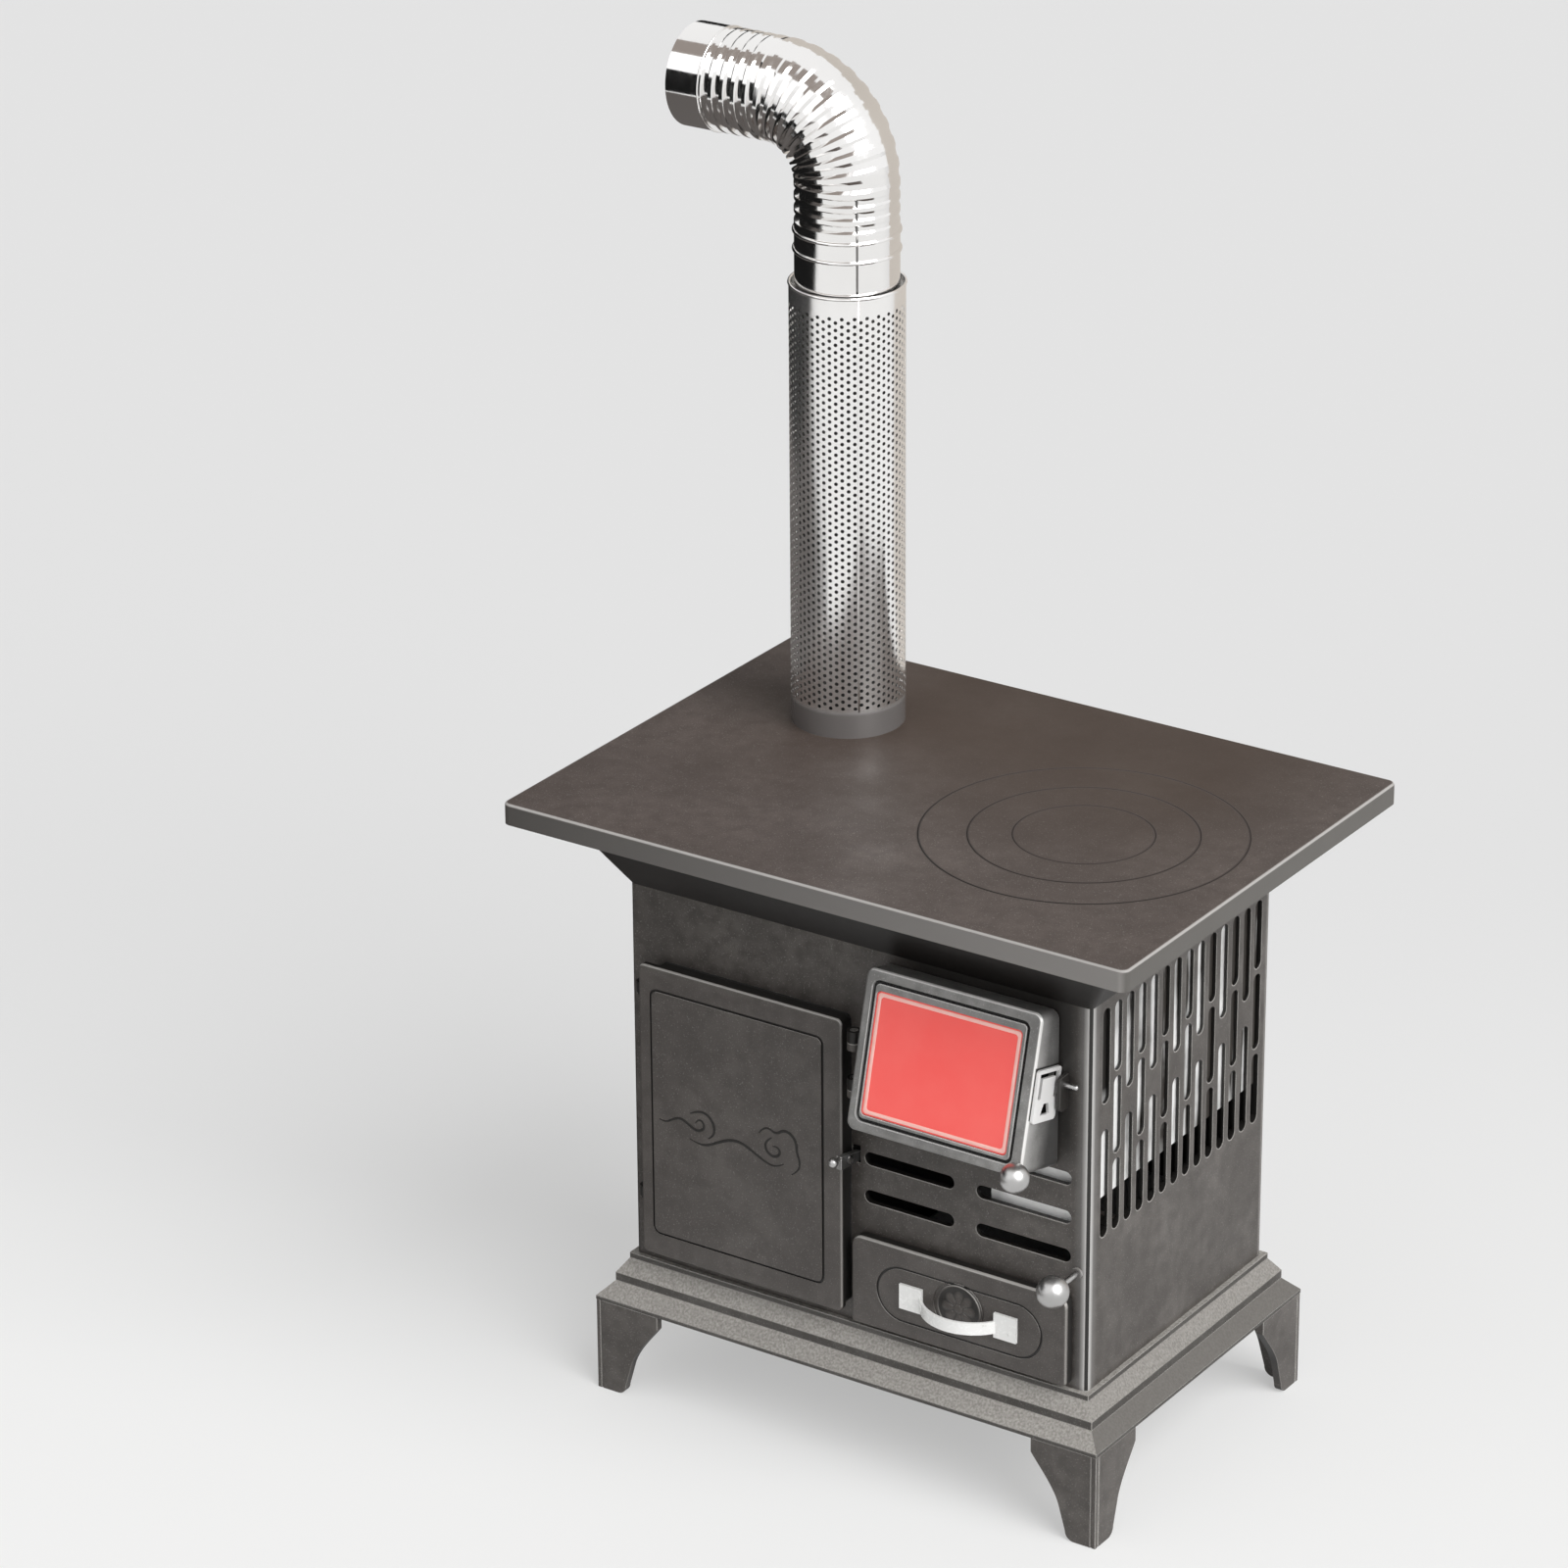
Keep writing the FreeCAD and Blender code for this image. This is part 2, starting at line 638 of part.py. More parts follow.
def leg_outline():
    """One web of a leg, seen square on: straight top band, S-curve, rounded toe."""
    def point(s, z):
        return Vector(s, 0, z)

    band = Z_PLINTH - LEG_TOP_BAND
    toe_k = LEG_TOE_R * (1 - math.sqrt(0.5))
    curve = Part.BezierCurve()
    curve.setPoles([point(LEG_TOP_W, band),
                    point(LEG_TOP_W - LEG_SHOULDER_IN, band - LEG_SHOULDER_DROP),
                    point(LEG_WAIST_W + LEG_HOLLOW_OUT, LEG_WAIST_H + LEG_HOLLOW_RISE),
                    point(LEG_WAIST_W, LEG_WAIST_H)])
    return Part.Wire([
        Part.LineSegment(point(0, 0), point(0, Z_PLINTH)).toShape(),
        Part.LineSegment(point(0, Z_PLINTH), point(LEG_TOP_W, Z_PLINTH)).toShape(),
        Part.LineSegment(point(LEG_TOP_W, Z_PLINTH), point(LEG_TOP_W, band)).toShape(),
        curve.toShape(),
        Part.LineSegment(point(LEG_WAIST_W, LEG_WAIST_H), point(LEG_TOE_W, LEG_TOE_R)).toShape(),
        Part.Arc(point(LEG_TOE_W, LEG_TOE_R), point(LEG_TOE_W - toe_k, toe_k),
                 point(LEG_TOE_W - LEG_TOE_R, 0)).toShape(),
        Part.LineSegment(point(LEG_TOE_W - LEG_TOE_R, 0), point(0, 0)).toShape(),
    ])


def leg_bolt(sx, sy, radius, head):
    """A bolt up through the leg's pad into the plinth; without its head it is the hole."""
    low = Z_PLINTH - LEG_PAD_T
    x, y = sx * BOLT_X, sy * BOLT_Y
    shank = rod((x, y, low), (x, y, Z_PLINTH + LEG_BOLT_GRIP), radius)
    if not head:
        return shank
    cap = rod((x, y, low - LEG_BOLT_HEAD_T), (x, y, low), LEG_BOLT_HEAD_R)
    return fuse([shank, cap])


def leg():
    """The front-left leg: two webs in an L, a bolting pad and a beaded corner."""
    web = Part.Face(leg_outline()).extrude(Vector(0, LEG_WEB, 0))
    other = web.mirror(Vector(0, 0, 0), Vector(1, -1, 0))
    pad = box(0, LEG_PAD, 0, LEG_PAD, Z_PLINTH - LEG_PAD_T, Z_PLINTH)
    whole = fuse([web, other, pad])
    grooves = []
    for a, b in ((LEG_BEAD_W, 0), (0, LEG_BEAD_W)):
        grooves.append(rod((a, b, 0), (a, b, Z_PLINTH), LEG_GROOVE / 2))
    whole = whole.cut(grooves)
    whole.translate(Vector(-LEG_X, -LEG_Y, 0))
    return whole.cut(leg_bolt(-1, -1, LEG_BOLT_R, False))


def leg_bolts():
    return Part.makeCompound([leg_bolt(sx, sy, LEG_BOLT_R, True) for sx in (-1, 1) for sy in (-1, 1)])


# Oven door, its hinge and latch

OVEN_HINGE = (OVEN_X0 - OVEN_HINGE_OUT, FRONT - OVEN_HINGE_PROUD)
OVEN_LUG_Z = (OVEN_Z0 + OVEN_HINGE_INSET, OVEN_Z1 - OVEN_HINGE_INSET)
OVEN_PLATE_BACK = OVEN_FACE + DOOR_PLATE_T
OVEN_PAN_BACK = FRONT - GASKET_T
OVEN_PAN = (OVEN_X0 + DOOR_PAN_HINGE_INSET, OVEN_X1 - DOOR_PAN_INSET,
            OVEN_Z0 + DOOR_PAN_INSET, OVEN_Z1 - DOOR_PAN_INSET)
LATCH_PIVOT_Y = OVEN_PLATE_BACK - LATCH_PIVOT_IN
LEVER_FRONT_Y = OVEN_FACE - LEVER_FRONT
LEVER_TAIL_Y = FRONT + LEVER_TAIL


def knuckle(centre, z0, z1, outer, pin):
    return tube((*centre, z0), (*centre, z1), outer, pin + RUN_FIT)


def oven_door_plate():
    """Cast plate with a raised field inside a groove, and two knuckles on its hinge side."""
    rim_face = OVEN_FACE + DOOR_RAISE
    plate = front_prism(OVEN_X0, OVEN_X1, OVEN_Z0, OVEN_Z1, DOOR_CORNER_R, rim_face, OVEN_PLATE_BACK)
    rim = edges_where(plate, lambda e: e.BoundBox.YMax < rim_face + 0.01)
    plate = plate.makeFillet(DOOR_EDGE_R, rim)
    border = (OVEN_X0 + BORDER_LEFT_INSET, OVEN_X1 - BORDER_RIGHT_INSET,
              OVEN_Z0 + BORDER_BOTTOM_INSET, OVEN_Z1 - BORDER_TOP_INSET)
    groove = border_ring(border, BORDER_R, rim_face)
    field = front_prism(*inset(border, BORDER_GROOVE_W), BORDER_R - BORDER_GROOVE_W, OVEN_FACE, rim_face)
    arms = []
    for z in OVEN_LUG_Z:
        z0, z1 = z + LUG_H, z + LUG_H + KNUCKLE_H
        arm = box(OVEN_HINGE[0], OVEN_X0 + DOOR_PAN_HINGE_INSET, OVEN_PLATE_BACK,
                  OVEN_PLATE_BACK + HINGE_ARM_T, z0, z1)
        barrel = rod((*OVEN_HINGE, z0), (*OVEN_HINGE, z1), OVEN_KNUCKLE_R)
        arms.append(arm.fuse(barrel).cut(rod((*OVEN_HINGE, z0), (*OVEN_HINGE, z1), OVEN_PIN_R + RUN_FIT)))
    pivot = rod((OVEN_X1 - LATCH_PIVOT_DEPTH, LATCH_PIVOT_Y, LATCH_Z),
                (OVEN_X1, LATCH_PIVOT_Y, LATCH_Z), LATCH_PIVOT_R)
    return fuse([plate.cut([groove, pivot]), field] + arms)


def border_ring(border, r, face):
    """The shallow cast groove that frames a door or drawer face."""
    x0, x1, z0, z1 = border
    w = BORDER_GROOVE_W
    outer = front_prism(x0, x1, z0, z1, r, face, face + BORDER_GROOVE_DEPTH)
    inner = front_prism(x0 + w, x1 - w, z0 + w, z1 - w, r - w, face, face + BORDER_GROOVE_DEPTH)
    return outer.cut(inner)


def oven_door_pan():
    return front_prism(*OVEN_PAN, DOOR_CORNER_R, OVEN_PLATE_BACK, OVEN_PAN_BACK)


def rope_seal(x0, x1, z0, z1):
    outer = front_prism(x0, x1, z0, z1, DOOR_CORNER_R, FRONT - GASKET_T, FRONT)
    w = GASKET_W
    return outer.cut(box(x0 + w, x1 - w, FRONT - GASKET_T, FRONT, z0 + w, z1 - w))


def oven_door_gasket():
    return rope_seal(*OVEN_PAN)


def panel_lugs(centre, levels, outer, pin):
    """Lugs cast on the front panel; each carries a pin that stands up into a door knuckle."""
    lugs = []
    for z in levels:
        arm = box(centre[0] - outer, centre[0] + outer, centre[1], FRONT, z, z + LUG_H)
        eye = rod((*centre, z), (*centre, z + LUG_H), outer)
        lugs.append(arm.fuse(eye).removeSplitter().cut(rod((*centre, z), (*centre, z + LUG_H), pin)))
    return Part.makeCompound(lugs)


def panel_pins(centre, levels, pin):
    return Part.makeCompound([rod((*centre, z), (*centre, z + LUG_H + KNUCKLE_H), pin) for z in levels])


def oven_hinge_lugs():
    return panel_lugs(OVEN_HINGE, OVEN_LUG_Z, OVEN_KNUCKLE_R, OVEN_PIN_R)


def oven_hinge_pins():
    return panel_pins(OVEN_HINGE, OVEN_LUG_Z, OVEN_PIN_R)


def oven_latch_lever():
    """Flat bar beside the door's edge; its tapered tail dips into the front panel."""
    front, tail = LEVER_H / 2, LEVER_TAIL_H / 2
    tail_z = LATCH_Z - LEVER_DROP
    outline = [(LEVER_FRONT_Y, LATCH_Z + front), (LEVER_FRONT_Y, LATCH_Z - front),
               (LEVER_TAIL_Y, tail_z - tail), (LEVER_TAIL_Y, tail_z + tail)]
    lever = side_prism(outline, LEVER_X0, LEVER_X1)
    hole = rod((LEVER_X0, LATCH_PIVOT_Y, LATCH_Z), (LEVER_X1, LATCH_PIVOT_Y, LATCH_Z),
               LATCH_PIVOT_R + RUN_FIT)
    return lever.cut(hole)


def oven_latch_pivot():
    """Shoulder pin: runs in the lever, is fixed in the door's edge."""
    shank = rod((OVEN_X1 - LATCH_PIVOT_DEPTH, LATCH_PIVOT_Y, LATCH_Z),
                (LEVER_X1 + LEVER_GAP, LATCH_PIVOT_Y, LATCH_Z), LATCH_PIVOT_R)
    head = rod((LEVER_X1 + LEVER_GAP, LATCH_PIVOT_Y, LATCH_Z),
               (LEVER_X1 + LEVER_GAP + LATCH_HEAD_T, LATCH_PIVOT_Y, LATCH_Z), LATCH_HEAD_R)
    return fuse([shank, head])


def oven_latch_knob():
    x = (LEVER_X0 + LEVER_X1) / 2
    z = LATCH_Z + LEVER_H / 2 - LATCH_STEM_R
    tip = LEVER_FRONT_Y - LATCH_STEM_L
    stem = rod((x, LEVER_FRONT_Y, z), (x, tip, z), LATCH_STEM_R)
    return fuse([stem, Part.makeSphere(LATCH_BALL_R, Vector(x, tip, z))])


# Oven liner and rack

LINER = (OVEN_MOUTH[0] - LINER_OVER, OVEN_MOUTH[1] + LINER_OVER,
         OVEN_MOUTH[2] - LINER_OVER, OVEN_MOUTH[3] + LINER_OVER)
LINER_END = HY - LINER_BACK
RACK_Z = LINER[2] + LINER_T + RACK_HEIGHT


def oven_box():
    x0, x1, z0, z1 = LINER
    t = LINER_T
    shell = box(x0, x1, FRONT_IN, LINER_END, z0, z1)
    shell = shell.cut(box(x0 + t, x1 - t, FRONT_IN, LINER_END - t, z0 + t, z1 - t))
    ledges = [box(a, b, FRONT_IN + RACK_END_GAP, LINER_END - t, RACK_Z - RACK_LEDGE_T, RACK_Z)
              for a, b in ((x0 + t, x0 + t + RACK_LEDGE), (x1 - t - RACK_LEDGE, x1 - t))]
    return fuse([shell] + ledges)


def oven_rack():
    x0, x1 = LINER[0] + LINER_T + RACK_SIDE_GAP, LINER[1] - LINER_T - RACK_SIDE_GAP
    y0, y1 = FRONT_IN + RACK_END_GAP, LINER_END - LINER_T - RACK_END_GAP
    z = RACK_Z + RACK_ROD_R
    r = RACK_ROD_R
    rods = [rod((x0, y, z), (x1, y, z), r) for y in (y0 + r, y1 - r)]
    rods += [rod((x, y0, z), (x, y1, z), r) for x in (x0 + r, x1 - r)]
    pitch = (x1 - x0 - 2 * r) / (RACK_WIRES + 1)
    for i in range(RACK_WIRES):
        x = x0 + r + pitch * (i + 1)
        rods.append(rod((x, y0 + r, z), (x, y1 - r, z), RACK_WIRE_R))
    return fuse(rods)


# Sloped firebox door, built square on and then leaned back

def lean(shape):
    """From the door's own axes (X along, Y into the stove, Z up its face) to the stove's."""
    shape = shape.copy()
    shape.Placement = Placement(Vector(0, FIRE_Y0, FIRE_Z0), Rotation(X_AXIS, -FIRE_TILT)).multiply(
        shape.Placement)
    return shape


def behind(y):
    """Everything at and behind a front-on plane, to trim the door square to the panel."""
    reach = 2 * (BODY_W + BODY_D + BODY_H)
    return box(-reach, reach, y, y + reach, -reach, reach)


WINDOW = (FIRE_X0 + WINDOW_LEFT, FIRE_X1 - WINDOW_RIGHT, WINDOW_SILL, FIRE_FACE_H - WINDOW_HEAD)
PANE = inset(WINDOW, WINDOW_SEAL_W)
PANE_R = WINDOW_R - WINDOW_SEAL_W
PANE_FACE = FIRE_FACE_T - GLASS_T
FILM = (PANE[0] + FILM_LEFT, PANE[1] - FILM_RIGHT, PANE[2] + FILM_LOW, PANE[3] - FILM_HIGH)
FIRE_HINGE = (FIRE_X0 - FIRE_HINGE_OUT, FRONT - FIRE_HINGE_PROUD)
FIRE_LUG_Z = (FIRE_Z0 + FIRE_HINGE_LOW, FIRE_Z0 + FIRE_HINGE_LOW + FIRE_HINGE_PITCH)
FIRE_DEEP = 2 * FIRE_BOTTOM_PROUD


def fire_door_frame():
    face = (FIRE_X0, FIRE_X1, 0, FIRE_FACE_H)
    outer = front_prism(*face, FIRE_CORNER_R, 0, FIRE_DEEP)
    rim = edges_where(outer, lambda e: e.BoundBox.YMax < 0.01)
    outer = outer.makeFillet(FIRE_EDGE_R, rim)
    hollow = front_prism(*inset(face, FIRE_WALL), FIRE_EDGE_R, FIRE_FACE_T, FIRE_DEEP)
    window = front_prism(*WINDOW, WINDOW_R, 0, FIRE_FACE_T)
    catch_x = (FIRE_X1 - FIRE_WALL, FIRE_X1)
    pocket = box(*catch_x, CATCH_FRONT + CATCH_MARGIN, CATCH_FRONT + CATCH_DEPTH - CATCH_MARGIN,
                 CATCH_LOW + CATCH_MARGIN, CATCH_LOW + CATCH_H - CATCH_MARGIN)
    frame = lean(outer.cut([hollow, window, pocket, knob_stem()])).cut(behind(FRONT - GASKET_T))
    barrels = []
    for z in FIRE_LUG_Z:
        z0, z1 = z + LUG_H, z + LUG_H + KNUCKLE_H
        barrel = rod((*FIRE_HINGE, z0), (*FIRE_HINGE, z1), FIRE_KNUCKLE_R)
        arm = box(FIRE_HINGE[0], FIRE_X0 + FIRE_WALL / 2, FIRE_HINGE[1] - HINGE_ARM_T / 2,
                  FIRE_HINGE[1] + HINGE_ARM_T / 2, z0, z1)
        bore = rod((*FIRE_HINGE, z0), (*FIRE_HINGE, z1), FIRE_PIN_R + RUN_FIT)
        barrels.append(barrel.fuse(arm).cut(bore))
    return fuse([frame] + barrels)


def fire_door_gasket():
    ring = (FIRE_X0, FIRE_X1, FIRE_LOW_Z, FIRE_HIGH_Z)
    return rope_seal(*inset(ring, FIRE_WALL / 4))


def window_gasket():
    seal = front_prism(*WINDOW, WINDOW_R, WINDOW_RECESS, FIRE_FACE_T)
    return lean(seal.cut(front_prism(*PANE, PANE_R, WINDOW_RECESS, FIRE_FACE_T)))


def window_glass():
    return lean(front_prism(*PANE, PANE_R, PANE_FACE, FIRE_FACE_T))


def window_bezel():
    """Flat ring on the pane, round the film."""
    front = PANE_FACE - BEZEL_T
    ring = front_prism(*PANE, PANE_R, front, PANE_FACE)
    return lean(ring.cut(front_prism(*inset(FILM, -FILM_CLEAR), PANE_R, front, PANE_FACE)))


def window_film():
    return lean(front_prism(*FILM, PANE_R, PANE_FACE - FILM_T, PANE_FACE))


def glass_clips():
    """Four flat clips on the inside that hold the pane against its seal."""
    x0, x1, z0, z1 = WINDOW
    clips = []
    for x in (x0 + CLIP_IN, x1 - CLIP_IN - CLIP_W):
        for low in (z0 - CLIP_SEAT, z1 - CLIP_OVER):
            high = low + CLIP_OVER + CLIP_SEAT
            clips.append(lean(box(x, x + CLIP_W, FIRE_FACE_T, FIRE_FACE_T + CLIP_T, low, high)))
    return Part.makeCompound(clips)


def fire_hinge_lugs():
    return panel_lugs(FIRE_HINGE, FIRE_LUG_Z, FIRE_KNUCKLE_R, FIRE_PIN_R)


def fire_hinge_pins():
    return panel_pins(FIRE_HINGE, FIRE_LUG_Z, FIRE_PIN_R)


KNOB_CENTRE = (FIRE_X1 + KNOB_SIDE, -KNOB_R - KNOB_GAP, KNOB_UP)


def knob_stem():
    return rod((FIRE_X1 - KNOB_ROOT_IN, KNOB_ROOT_DEPTH, KNOB_ROOT_IN), KNOB_CENTRE, KNOB_STEM_R)


def fire_door_knob():
    """Ball on a short stem that leans out from the sloped face's lower right corner."""
    return lean(fuse([knob_stem(), Part.makeSphere(KNOB_R, Vector(*KNOB_CENTRE))]))


def catch_plate():
    """Pressed catch on the door's right side: an arched slot leaves a springy tongue."""
    y0, y1 = CATCH_FRONT, CATCH_FRONT + CATCH_DEPTH
    z0, z1 = CATCH_LOW, CATCH_LOW + CATCH_H
    m = CATCH_MARGIN
    arch_z0 = z1 - m - CATCH_ARCH_H
    plate = box(FIRE_X1, FIRE_X1 + CATCH_T, y0, y1, z0, z1)
    plate = plate.makeFillet(CATCH_MARGIN, edges_where(plate, lambda e: e.BoundBox.XLength > CATCH_T - 0.01))
    arch = box(FIRE_X1, FIRE_X1 + CATCH_T, y0 + m, y1 - m, arch_z0, z1 - m)
    tongue = box(FIRE_X1, FIRE_X1 + CATCH_T, y0 + m + CATCH_SLOT, y1 - m - CATCH_SLOT,
                 arch_z0, z1 - m - CATCH_SLOT)
    mid = (y0 + y1) / 2
    hole_z1 = arch_z0 - CATCH_SLOT
    hole = side_prism([(mid - CATCH_HOLE_W / 2, hole_z1 - CATCH_HOLE_H), (mid - CATCH_HOLE_W / 4, hole_z1),
                       (mid + CATCH_HOLE_W / 4, hole_z1), (mid + CATCH_HOLE_W / 2, hole_z1 - CATCH_HOLE_H)],
                      FIRE_X1, FIRE_X1 + CATCH_T)
    return lean(plate.cut([arch.cut(tongue), hole]))


KEEPER_X0 = FIRE_X1 + CATCH_T + KEEPER_GAP
KEEPER_Z = FIRE_Z0 + CATCH_LOW + CATCH_H / 4
KEEPER_PIN = (FRONT - KEEPER_PIN_PROUD, KEEPER_Z + KEEPER_PIN_UP)


def catch_keeper():
    """Ear on the front panel beside the catch."""
    y0 = FRONT - KEEPER_PROUD
    ear = box(KEEPER_X0, KEEPER_X0 + KEEPER_T, y0, FRONT, KEEPER_Z - KEEPER_H / 2, KEEPER_Z + KEEPER_H / 2)
    front = edges_where(ear, lambda e: e.BoundBox.YMax < y0 + 0.01 and e.BoundBox.XLength > KEEPER_T - 0.01)
    ear = ear.makeFillet(KEEPER_PROUD / 3, front)
    return ear.cut(rod((KEEPER_X0, *KEEPER_PIN), (KEEPER_X0 + KEEPER_T, *KEEPER_PIN), KEEPER_PIN_R))


def catch_pin():
    end = (KEEPER_X0 + KEEPER_T + KEEPER_PIN_L, *KEEPER_PIN)
    return fuse([rod((KEEPER_X0, *KEEPER_PIN), end, KEEPER_PIN_R),
                 Part.makeSphere(KEEPER_PIN_R, Vector(*end))])


# Firebox: partition, floor, bricks, grate and its shaker

FLOOR_Z1 = FIRE_MOUTH[2] - FLOOR_UNDER_MOUTH
FLOOR_Z0 = FLOOR_Z1 - FLOOR_T
SHIELD_X1 = SIDE_IN + SHIELD_POCKET - SHIELD_GAP
SHIELD_X0 = SHIELD_X1 - SHIELD_T
PARTITION_X = LINER[1] + PARTITION_GAP
PARTITION_X1 = PARTITION_X + PARTITION_T
GRATE_MID = (FIRE_MOUTH[0] + FIRE_MOUTH[1]) / 2
GRATE_X0 = GRATE_MID - GRATE_W / 2
GRATE_X1 = GRATE_MID + GRATE_W / 2
GRATE_Y0 = FRONT_IN + GRATE_FRONT
GRATE_Y1 = GRATE_Y0 + GRATE_D
BRICK_Y1 = HY - BRICK_BACK
BRICK_X0 = GRATE_X0 - BRICK_GAP / 2
BRICK_X1 = GRATE_X1 + BRICK_GAP / 2
LINK_Y = FRONT_IN + SHAKER_LINK_BACK


def partition_wall():
    return box(PARTITION_X, PARTITION_X1, FRONT_IN, HY - PANEL_T, Z_BODY, Z_PLATE - PARTITION_TOP)


def firebox_floor():
    floor = box(PARTITION_X1, SIDE_IN, FRONT_IN, HY - PANEL_T, FLOOR_Z0, FLOOR_Z1)
    return floor.cut(box(GRATE_X0 + GRATE_LAP, GRATE_X1 - GRATE_LAP, GRATE_Y0 + GRATE_LAP - GRATE_STROKE / 4,
                         GRATE_Y1 - GRATE_LAP - GRATE_STROKE, FLOOR_Z0, FLOOR_Z1))


def side_bricks():
    y0 = FRONT_IN + GRATE_FRONT / 2
    return Part.makeCompound([
        box(BRICK_X0 - BRICK_T, BRICK_X0, y0, BRICK_Y1, FLOOR_Z1, FLOOR_Z1 + BRICK_H),
        box(BRICK_X1, BRICK_X1 + BRICK_T, y0, BRICK_Y1, FLOOR_Z1, FLOOR_Z1 + BRICK_H)])


def rear_brick():
    return box(BRICK_X0, BRICK_X1, BRICK_Y1 - BRICK_T, BRICK_Y1, FLOOR_Z1, FLOOR_Z1 + BRICK_H)


def grate():
    bars = box(GRATE_X0, GRATE_X1, GRATE_Y0, GRATE_Y1, FLOOR_Z1, FLOOR_Z1 + GRATE_T)
    pitch = (GRATE_W - 2 * GRATE_RIM) / GRATE_BARS
    cuts = []
    for i in range(GRATE_BARS):
        x = GRATE_X0 + GRATE_RIM + pitch * (i + 0.5)
        cuts.append(plan_prism(x - GRATE_SLOT_W / 2, x + GRATE_SLOT_W / 2, GRATE_Y0 + GRATE_RIM,
                               GRATE_Y1 - GRATE_RIM, GRATE_SLOT_W / 2 - 0.01, FLOOR_Z1, FLOOR_Z1 + GRATE_T))
    return bars.cut(cuts)


def shaker_link():
    """Cranked bar from the pull rod up to the underside of the grate."""
    half = SHAKER_LINK_W / 2
    y0, y1 = LINK_Y - SHAKER_LINK_T / 2, LINK_Y + SHAKER_LINK_T / 2
    arm = box(GRATE_MID - half, SHAKER[0] + half / 2 + SHAKER_ROD_R / 2, y0, y1, SHAKER[1] - half,
              SHAKER[1] + half)
    post = box(GRATE_MID - half, GRATE_MID + half, y0, y1, SHAKER[1] - half, FLOOR_Z1)
    return fuse([arm, post]).cut(rod((SHAKER[0], y0, SHAKER[1]), (SHAKER[0], y1, SHAKER[1]), SHAKER_ROD_R))


def shaker_rod():
    return rod((SHAKER[0], FRONT - SHAKER_KNOB_PROUD, SHAKER[1]),
               (SHAKER[0], LINK_Y + SHAKER_LINK_T / 2, SHAKER[1]), SHAKER_ROD_R)


def shaker_knob():
    ball = Part.makeSphere(SHAKER_KNOB_R, Vector(SHAKER[0], FRONT - SHAKER_KNOB_PROUD, SHAKER[1]))
    return ball.cut(rod((SHAKER[0], FRONT - SHAKER_KNOB_PROUD, SHAKER[1]), (SHAKER[0], FRONT, SHAKER[1]),
                        SHAKER_ROD_R))


def shaker_bush():
    """Flanged bush in the front panel that guides the pull rod."""
    bore = SHAKER_ROD_R + RUN_FIT
    flange = tube((SHAKER[0], FRONT - SHAKER_BUSH_T, SHAKER[1]), (SHAKER[0], FRONT, SHAKER[1]),
                  SHAKER_BUSH_R, bore)
    sleeve = tube((SHAKER[0], FRONT, SHAKER[1]), (SHAKER[0], FRONT_IN, SHAKER[1]),
                  SHAKER_BUSH_R - SHAKER_BUSH_T, bore)
    return fuse([flange, sleeve])


SHIELD_Z0 = Z_BODY + SHIELD_LOW
SHIELD_RETURN_Z0 = Z_BODY + SHIELD_RETURN_LOW
SHIELD_Z1 = Z_PLATE - SHIELD_TOP_GAP
SHIELD_Y0 = FRONT_IN + SHIELD_FRONT_GAP
SHIELD_Y1 = HY - PANEL_T - SHIELD_BACK_GAP


def heat_shield():
    """Bright sheet behind the slotted panel, with a return behind the front slots."""
    side = box(SHIELD_X0, SHIELD_X1, SHIELD_Y0, SHIELD_Y1, SHIELD_Z0, SHIELD_Z1)
    front = box(SHIELD_X1 - SHIELD_RETURN_W, SHIELD_X1, SHIELD_Y0, SHIELD_Y0 + SHIELD_T,
                SHIELD_RETURN_Z0, FLOOR_Z0 - SHIELD_RETURN_TOP)
    return fuse([side, front])


def shield_spacers():
    """Washers that hold the shield off the panel, on the long bridges and above the slots."""
    washers = []
    last = (SIDE_SLOTS - 1) // 2 * 2
    for column in (0, last):
        y = FRONT + SIDE_FIRST + column * SIDE_PITCH
        for z in (Z_BODY + SIDE_BRIDGE_ODD, SHIELD_Z1 - SPACER_EDGE):
            washers.append(rod((SHIELD_X1, y, z), (SHIELD_X1 + SHIELD_GAP, y, z), SPACER_R))
    return Part.makeCompound(washers)


# Ash drawer with its pull

TRAY_X0 = DRAWER_MOUTH[0] + TRAY_CLEAR
TRAY_X1 = DRAWER_MOUTH[1] - TRAY_CLEAR
TRAY_Z0 = DRAWER_MOUTH[2] + TRAY_CLEAR
DRAWER_MID = ((DRAWER_X0 + DRAWER_X1) / 2 + FACE_SHIFT, (DRAWER_Z0 + DRAWER_Z1) / 2 - FACE_DROP)
PULL_FACE = DRAWER_FACE - PULL_PLATE_T


def ash_drawer_front():
    back = DRAWER_FACE + DRAWER_FRONT_T
    middle = (DRAWER_Z0 + DRAWER_Z1) / 2
    plate = fuse([
        front_prism(DRAWER_X0, DRAWER_X1, DRAWER_Z0, DRAWER_Z1, DRAWER_CORNER_R, DRAWER_FACE, back),
        front_prism(DRAWER_X0, DRAWER_X1, DRAWER_Z0, middle, DRAWER_FOOT_R, DRAWER_FACE, back)])
    rim = edges_where(plate, lambda e: e.BoundBox.YMax < DRAWER_FACE + 0.01)
    plate = plate.makeFillet(DOOR_EDGE_R, rim)
    x, z = DRAWER_MID
    stadium = (x - STADIUM_W / 2, x + STADIUM_W / 2, z - STADIUM_H / 2, z + STADIUM_H / 2)
    groove = border_ring(stadium, STADIUM_H / 2 - 0.01, DRAWER_FACE)
    high = z + MEDALLION_UP
    sink = tube((x, DRAWER_FACE, high), (x, DRAWER_FACE + MEDALLION_SINK, high),
                MEDALLION_R, MEDALLION_R - MEDALLION_RIM)
    return plate.cut([groove, sink])


